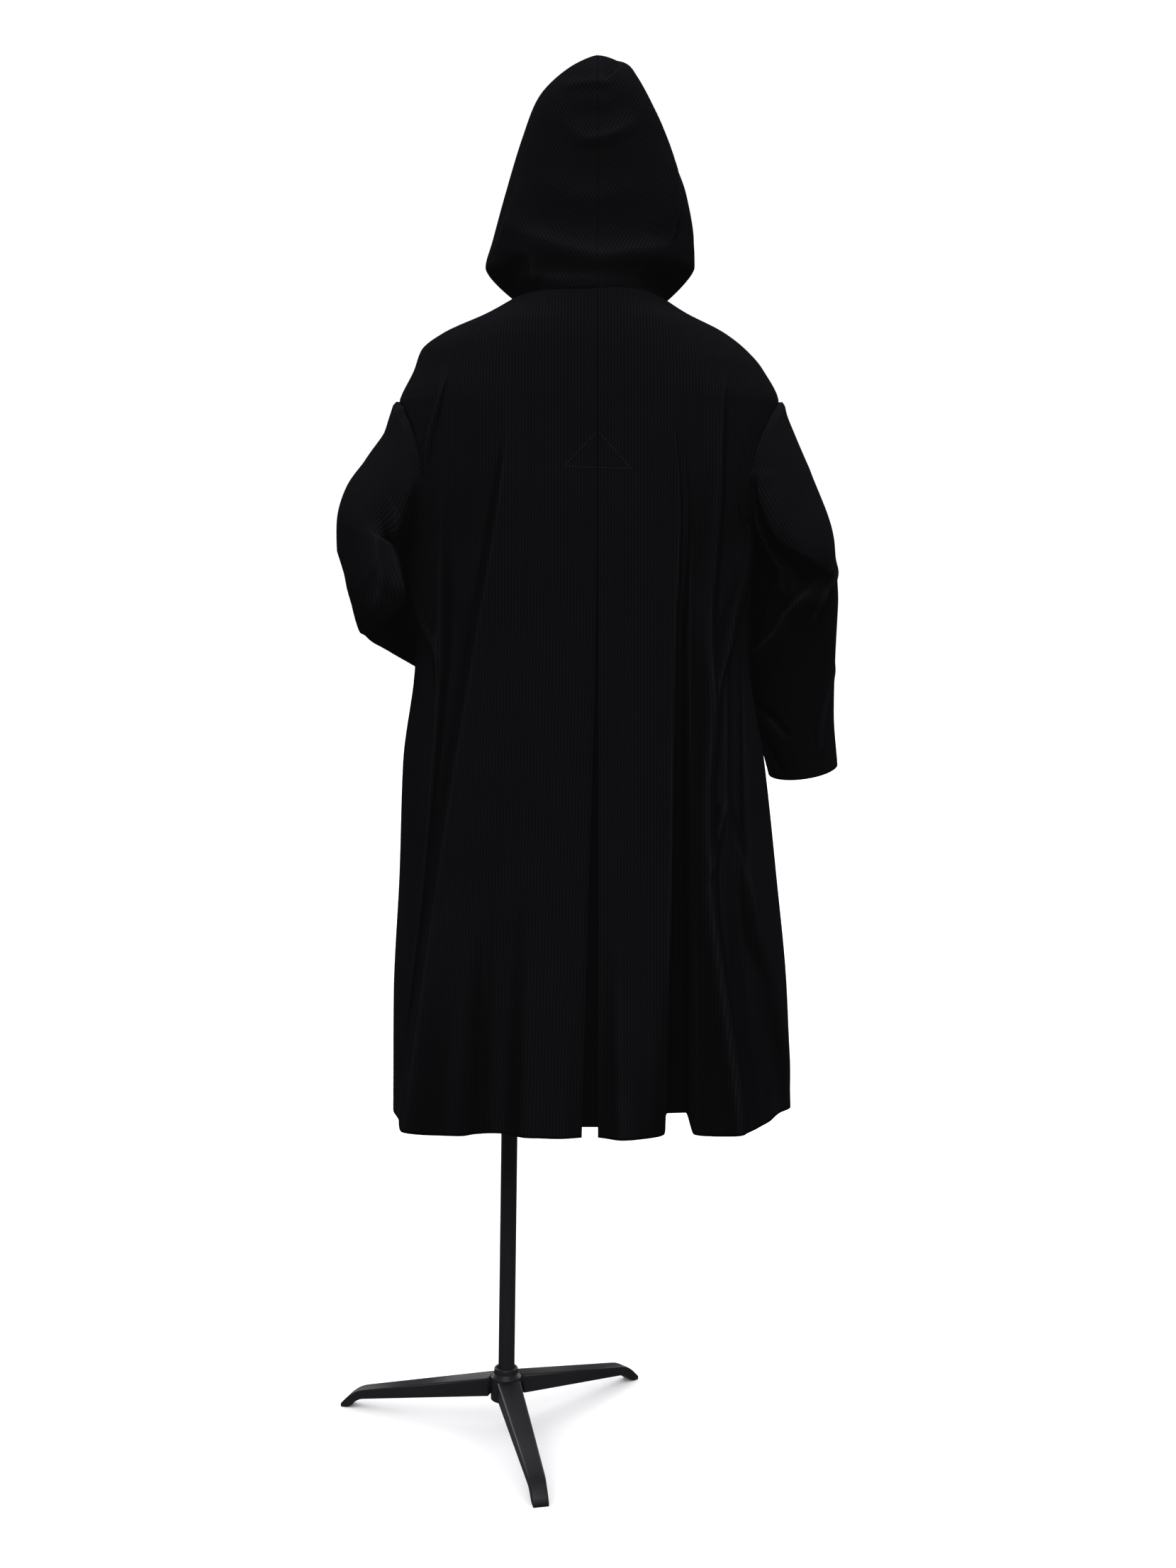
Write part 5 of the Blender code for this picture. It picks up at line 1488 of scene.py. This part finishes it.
class COAT_OT_form(bpy.types.Operator):
    """Draws the dress form that carries the coat"""

    bl_idname = "coat.form"
    bl_label = "Dress form"

    def execute(self, context):
        turn = 2 * np.pi * np.arange(FORM_COLUMNS) / FORM_COLUMNS
        shoulder = on_ring(body_rows(np.array(FORM_SHOULDER_HEIGHTS)), turn)
        clear = FORM_CLEAR + FORM_FRONT_CLEAR * ease(-FORM_FRONT_SPREAD * np.cos(turn))
        shoulder -= outward(shoulder, axis_inside(shoulder), wrap=True) * clear[:, None]
        parts = []
        for rows in (FORM_NECK, FORM_TORSO):
            t = np.array(rows).T[:, :, None]
            parts.append(on_ring(Ring(t[0], t[0], *t[1:]), turn))
        rings = np.concatenate([parts[0], shoulder, parts[1]])
        points = glide(np.arange(len(rings)), rings, np.linspace(0, len(rings) - 1, FORM_ROWS))
        obj = surface("form_cover", points, axis_inside(points), wrap=True, caps=(0,))
        thicken(obj, FORM_WALL)
        cover = material("charcoal cotton jersey on papier-mache", jersey_cover)
        obj.data.materials.append(cover)
        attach(obj, "root")
        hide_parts("dress_form")
        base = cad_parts["form_base"]
        base.data.materials.clear()
        base.data.materials.append(cover)
        return {"FINISHED"}


class COAT_OT_stand(bpy.types.Operator):
    """Draws the pole, the hub with its collar and the three legs"""

    bl_idname = "coat.stand"
    bl_label = "Stand"

    def execute(self, context):
        foot = np.array([POLE_X, POLE_Y, POLE_FOOT_Z])
        height = POLE_TOP_Z - POLE_FOOT_Z
        ends = ((POLE_CAP, 0.0), (POLE_RADIUS, 0.0), (POLE_RADIUS, height), (POLE_CAP, height))
        tube = rounded(ends, POLE_EDGE, steps=5)
        bore = POLE_RADIUS + POLE_PLAY
        outline = (
            (bore, HUB_TOP_Z),
            (COLLAR_RADIUS - COLLAR_CHAMFER, HUB_TOP_Z),
            (COLLAR_RADIUS, HUB_TOP_Z - COLLAR_CHAMFER),
            (COLLAR_RADIUS, HUB_SHOULDER_Z + COLLAR_FOOT),
            (HUB_RADIUS - HUB_CHAMFER, HUB_SHOULDER_Z),
            (HUB_RADIUS, HUB_SHOULDER_Z - HUB_CHAMFER),
            (HUB_RADIUS, HUB_LOW_Z),
            (bore, HUB_LOW_Z),
        )
        ring = rounded(outline, HUB_EDGE, steps=4, closed=True)
        ring = np.concatenate([ring, ring[:1]])
        made = [
            (surface("stand_pole", turned(tube, foot, POLE_LEAN), wrap=True, caps=(0, -1)), "pole"),
            (self.hub(turned(ring, foot * np.array([1, 1, 0]), 0.0)), "hub"),
        ]
        for i, name in enumerate(("leg_left", "leg_back", "leg_right")):
            made.append((self.leg("stand_" + name, LEG_BEARING + LEG_APART * i), name))
        for obj, node in made:
            obj.data.materials.append(material("dark grey satin enamel on steel", painted_steel))
            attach(obj, "root")
            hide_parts(node)
        return {"FINISHED"}

    def hub(self, rings):
        """A closed outline turned about the pole, faced away from the middle of its wall."""
        middle = rings.mean(axis=0, keepdims=True)
        obj = surface("stand_hub", rings, np.broadcast_to(middle, rings.shape), wrap=True)
        merge = obj.modifiers.new("close", "WELD")
        merge.merge_threshold = WELD
        return obj

    def leg(self, name, bearing):
        """A rounded oblong carried along the leg's stations and turned to its bearing."""
        stations = rounded(LEG, LEG_BEND, steps=9)
        square = ((1, 1), (-1, 1), (-1, -1), (1, -1))
        corners = rounded(square, LEG_CORNER, steps=7, closed=True)
        reach, top, low, half = stations.T[:, :, None]
        across = half * corners[:, 0]
        up = (top + low) / 2 + (top - low) / 2 * corners[:, 1]
        c, s = math.cos(math.radians(bearing)), math.sin(math.radians(bearing))
        x = POLE_X + reach * c - across * s
        y = POLE_Y + reach * s + across * c
        return surface(name, np.stack([x, y, up], -1), wrap=True, caps=(0, -1))


class COAT_OT_studio(bpy.types.Operator):
    """Lays the pale floor and sets the light and the camera"""

    bl_idname = "coat.studio"
    bl_label = "Studio"

    def execute(self, context):
        scene = context.scene
        studio = scene.studio_settings
        reach = np.linspace(-FLOOR_REACH, FLOOR_REACH, FLOOR_POINTS)
        x, y = np.meshgrid(reach, reach)
        floor = surface("floor", np.stack([x, y, 0 * x], -1), np.array([0.0, 0.0, -1.0]))
        floor.data.materials.append(material("white matt floor paint", floor_paint))
        # The floor throws no light up at the coat, whose undersides are dark, and no gleam on
        # the stand
        floor.visible_diffuse = False
        floor.visible_glossy = False
        world = bpy.data.worlds.new("white studio")
        world.use_nodes = True
        tree = world.node_tree
        tree.nodes.clear()
        coords = add(tree, "ShaderNodeTexCoord")
        way = add(tree, "ShaderNodeSeparateXYZ", {0: coords.outputs["Generated"]})
        slope = {0: way.outputs["Z"], 1: STUDIO_LOW, 2: STUDIO_HIGH}
        light = add(tree, "ShaderNodeMapRange", {**slope, 3: studio.below, 4: studio.above})
        # The studio's wall is seen white, though it lights the coat less than that
        path = add(tree, "ShaderNodeLightPath")
        shown = add(
            tree, "ShaderNodeMix", {0: path.outputs["Is Camera Ray"], 2: light.outputs[0], 3: 1.0}
        )
        wall = add(
            tree,
            "ShaderNodeBackground",
            {"Color": (1.0, 1.0, 1.0, 1.0), "Strength": shown.outputs[0]},
        )
        add(tree, "ShaderNodeOutputWorld", {"Surface": wall.outputs[0]})
        scene.world = world
        pieces = [obj for obj in scene.objects if obj.type == "MESH"]
        for lamp in LAMPS:
            light = bpy.data.lights.new(lamp.name, "SUN")
            light.energy = getattr(studio, lamp.strength)
            light.angle = studio.floor_softness if lamp.name == "floor_light" else studio.softness
            group = bpy.data.collections.new(lamp.name + " links")
            for piece in pieces:
                if piece.name.startswith(lamp.pieces):
                    group.objects.link(piece)
            for link in group.collection_objects:
                link.light_linking.link_state = lamp.state
            obj = bpy.data.objects.new(lamp.name, light)
            tilt, turn = math.radians(90 - lamp.height), math.radians(180 - lamp.side)
            obj.rotation_euler = (tilt, 0.0, turn)
            obj.location = LAMP_PLACE
            obj.light_linking.receiver_collection = group
            scene.collection.objects.link(obj)
        shift = coat_shift()
        lens = bpy.data.cameras.new("photograph")
        lens.sensor_fit = "VERTICAL"
        lens.sensor_height = SENSOR
        lens.lens = FOCAL_PIXELS / PICTURE_HEIGHT * SENSOR
        camera = bpy.data.objects.new("photograph", lens)
        camera.location = (CAMERA_X + shift[0], CAMERA_Y + shift[1], CAMERA_Z)
        camera.rotation_euler = (math.radians(90 - CAMERA_PITCH), 0.0, math.pi)
        scene.collection.objects.link(camera)
        scene.camera = camera
        scene.view_settings.view_transform = "Standard"
        scene.view_settings.use_curve_mapping = True
        scene.view_settings.curve_mapping.black_level = (-studio.veil,) * 3
        scene.view_settings.curve_mapping.update()
        return {"FINISHED"}


class COAT_PT_pieces(bpy.types.Panel):
    """Lists the pieces of the coat and their settings"""

    bl_idname = "COAT_PT_pieces"
    bl_label = "Hooded coat"
    bl_space_type = "VIEW_3D"
    bl_region_type = "UI"
    bl_category = "Coat"

    def draw(self, context):
        for settings in (context.scene.coat_settings, context.scene.studio_settings):
            for key in settings.__annotations__:
                self.layout.prop(settings, key)
        for operator in OPERATORS:
            self.layout.operator(operator.bl_idname)


OPERATORS = (
    COAT_OT_form,
    COAT_OT_backs,
    COAT_OT_fronts,
    COAT_OT_underlay,
    COAT_OT_pockets,
    COAT_OT_sleeves,
    COAT_OT_hood,
    COAT_OT_stitching,
    COAT_OT_stand,
    COAT_OT_studio,
)
CLASSES = (CoatSettings, StudioSettings) + OPERATORS + (COAT_PT_pieces,)


def register():
    for cls in CLASSES:
        bpy.utils.register_class(cls)
    bpy.types.Scene.coat_settings = bpy.props.PointerProperty(type=CoatSettings)
    bpy.types.Scene.studio_settings = bpy.props.PointerProperty(type=StudioSettings)


def unregister():
    del bpy.types.Scene.studio_settings
    del bpy.types.Scene.coat_settings
    for cls in reversed(CLASSES):
        bpy.utils.unregister_class(cls)


def main():
    register()
    bpy.ops.coat.form()
    bpy.ops.coat.backs()
    bpy.ops.coat.fronts()
    bpy.ops.coat.underlay()
    bpy.ops.coat.pockets()
    bpy.ops.coat.sleeves()
    bpy.ops.coat.hood()
    bpy.ops.coat.stitching()
    bpy.ops.coat.stand()
    bpy.ops.coat.studio()


if __name__ == "__main__":
    main()
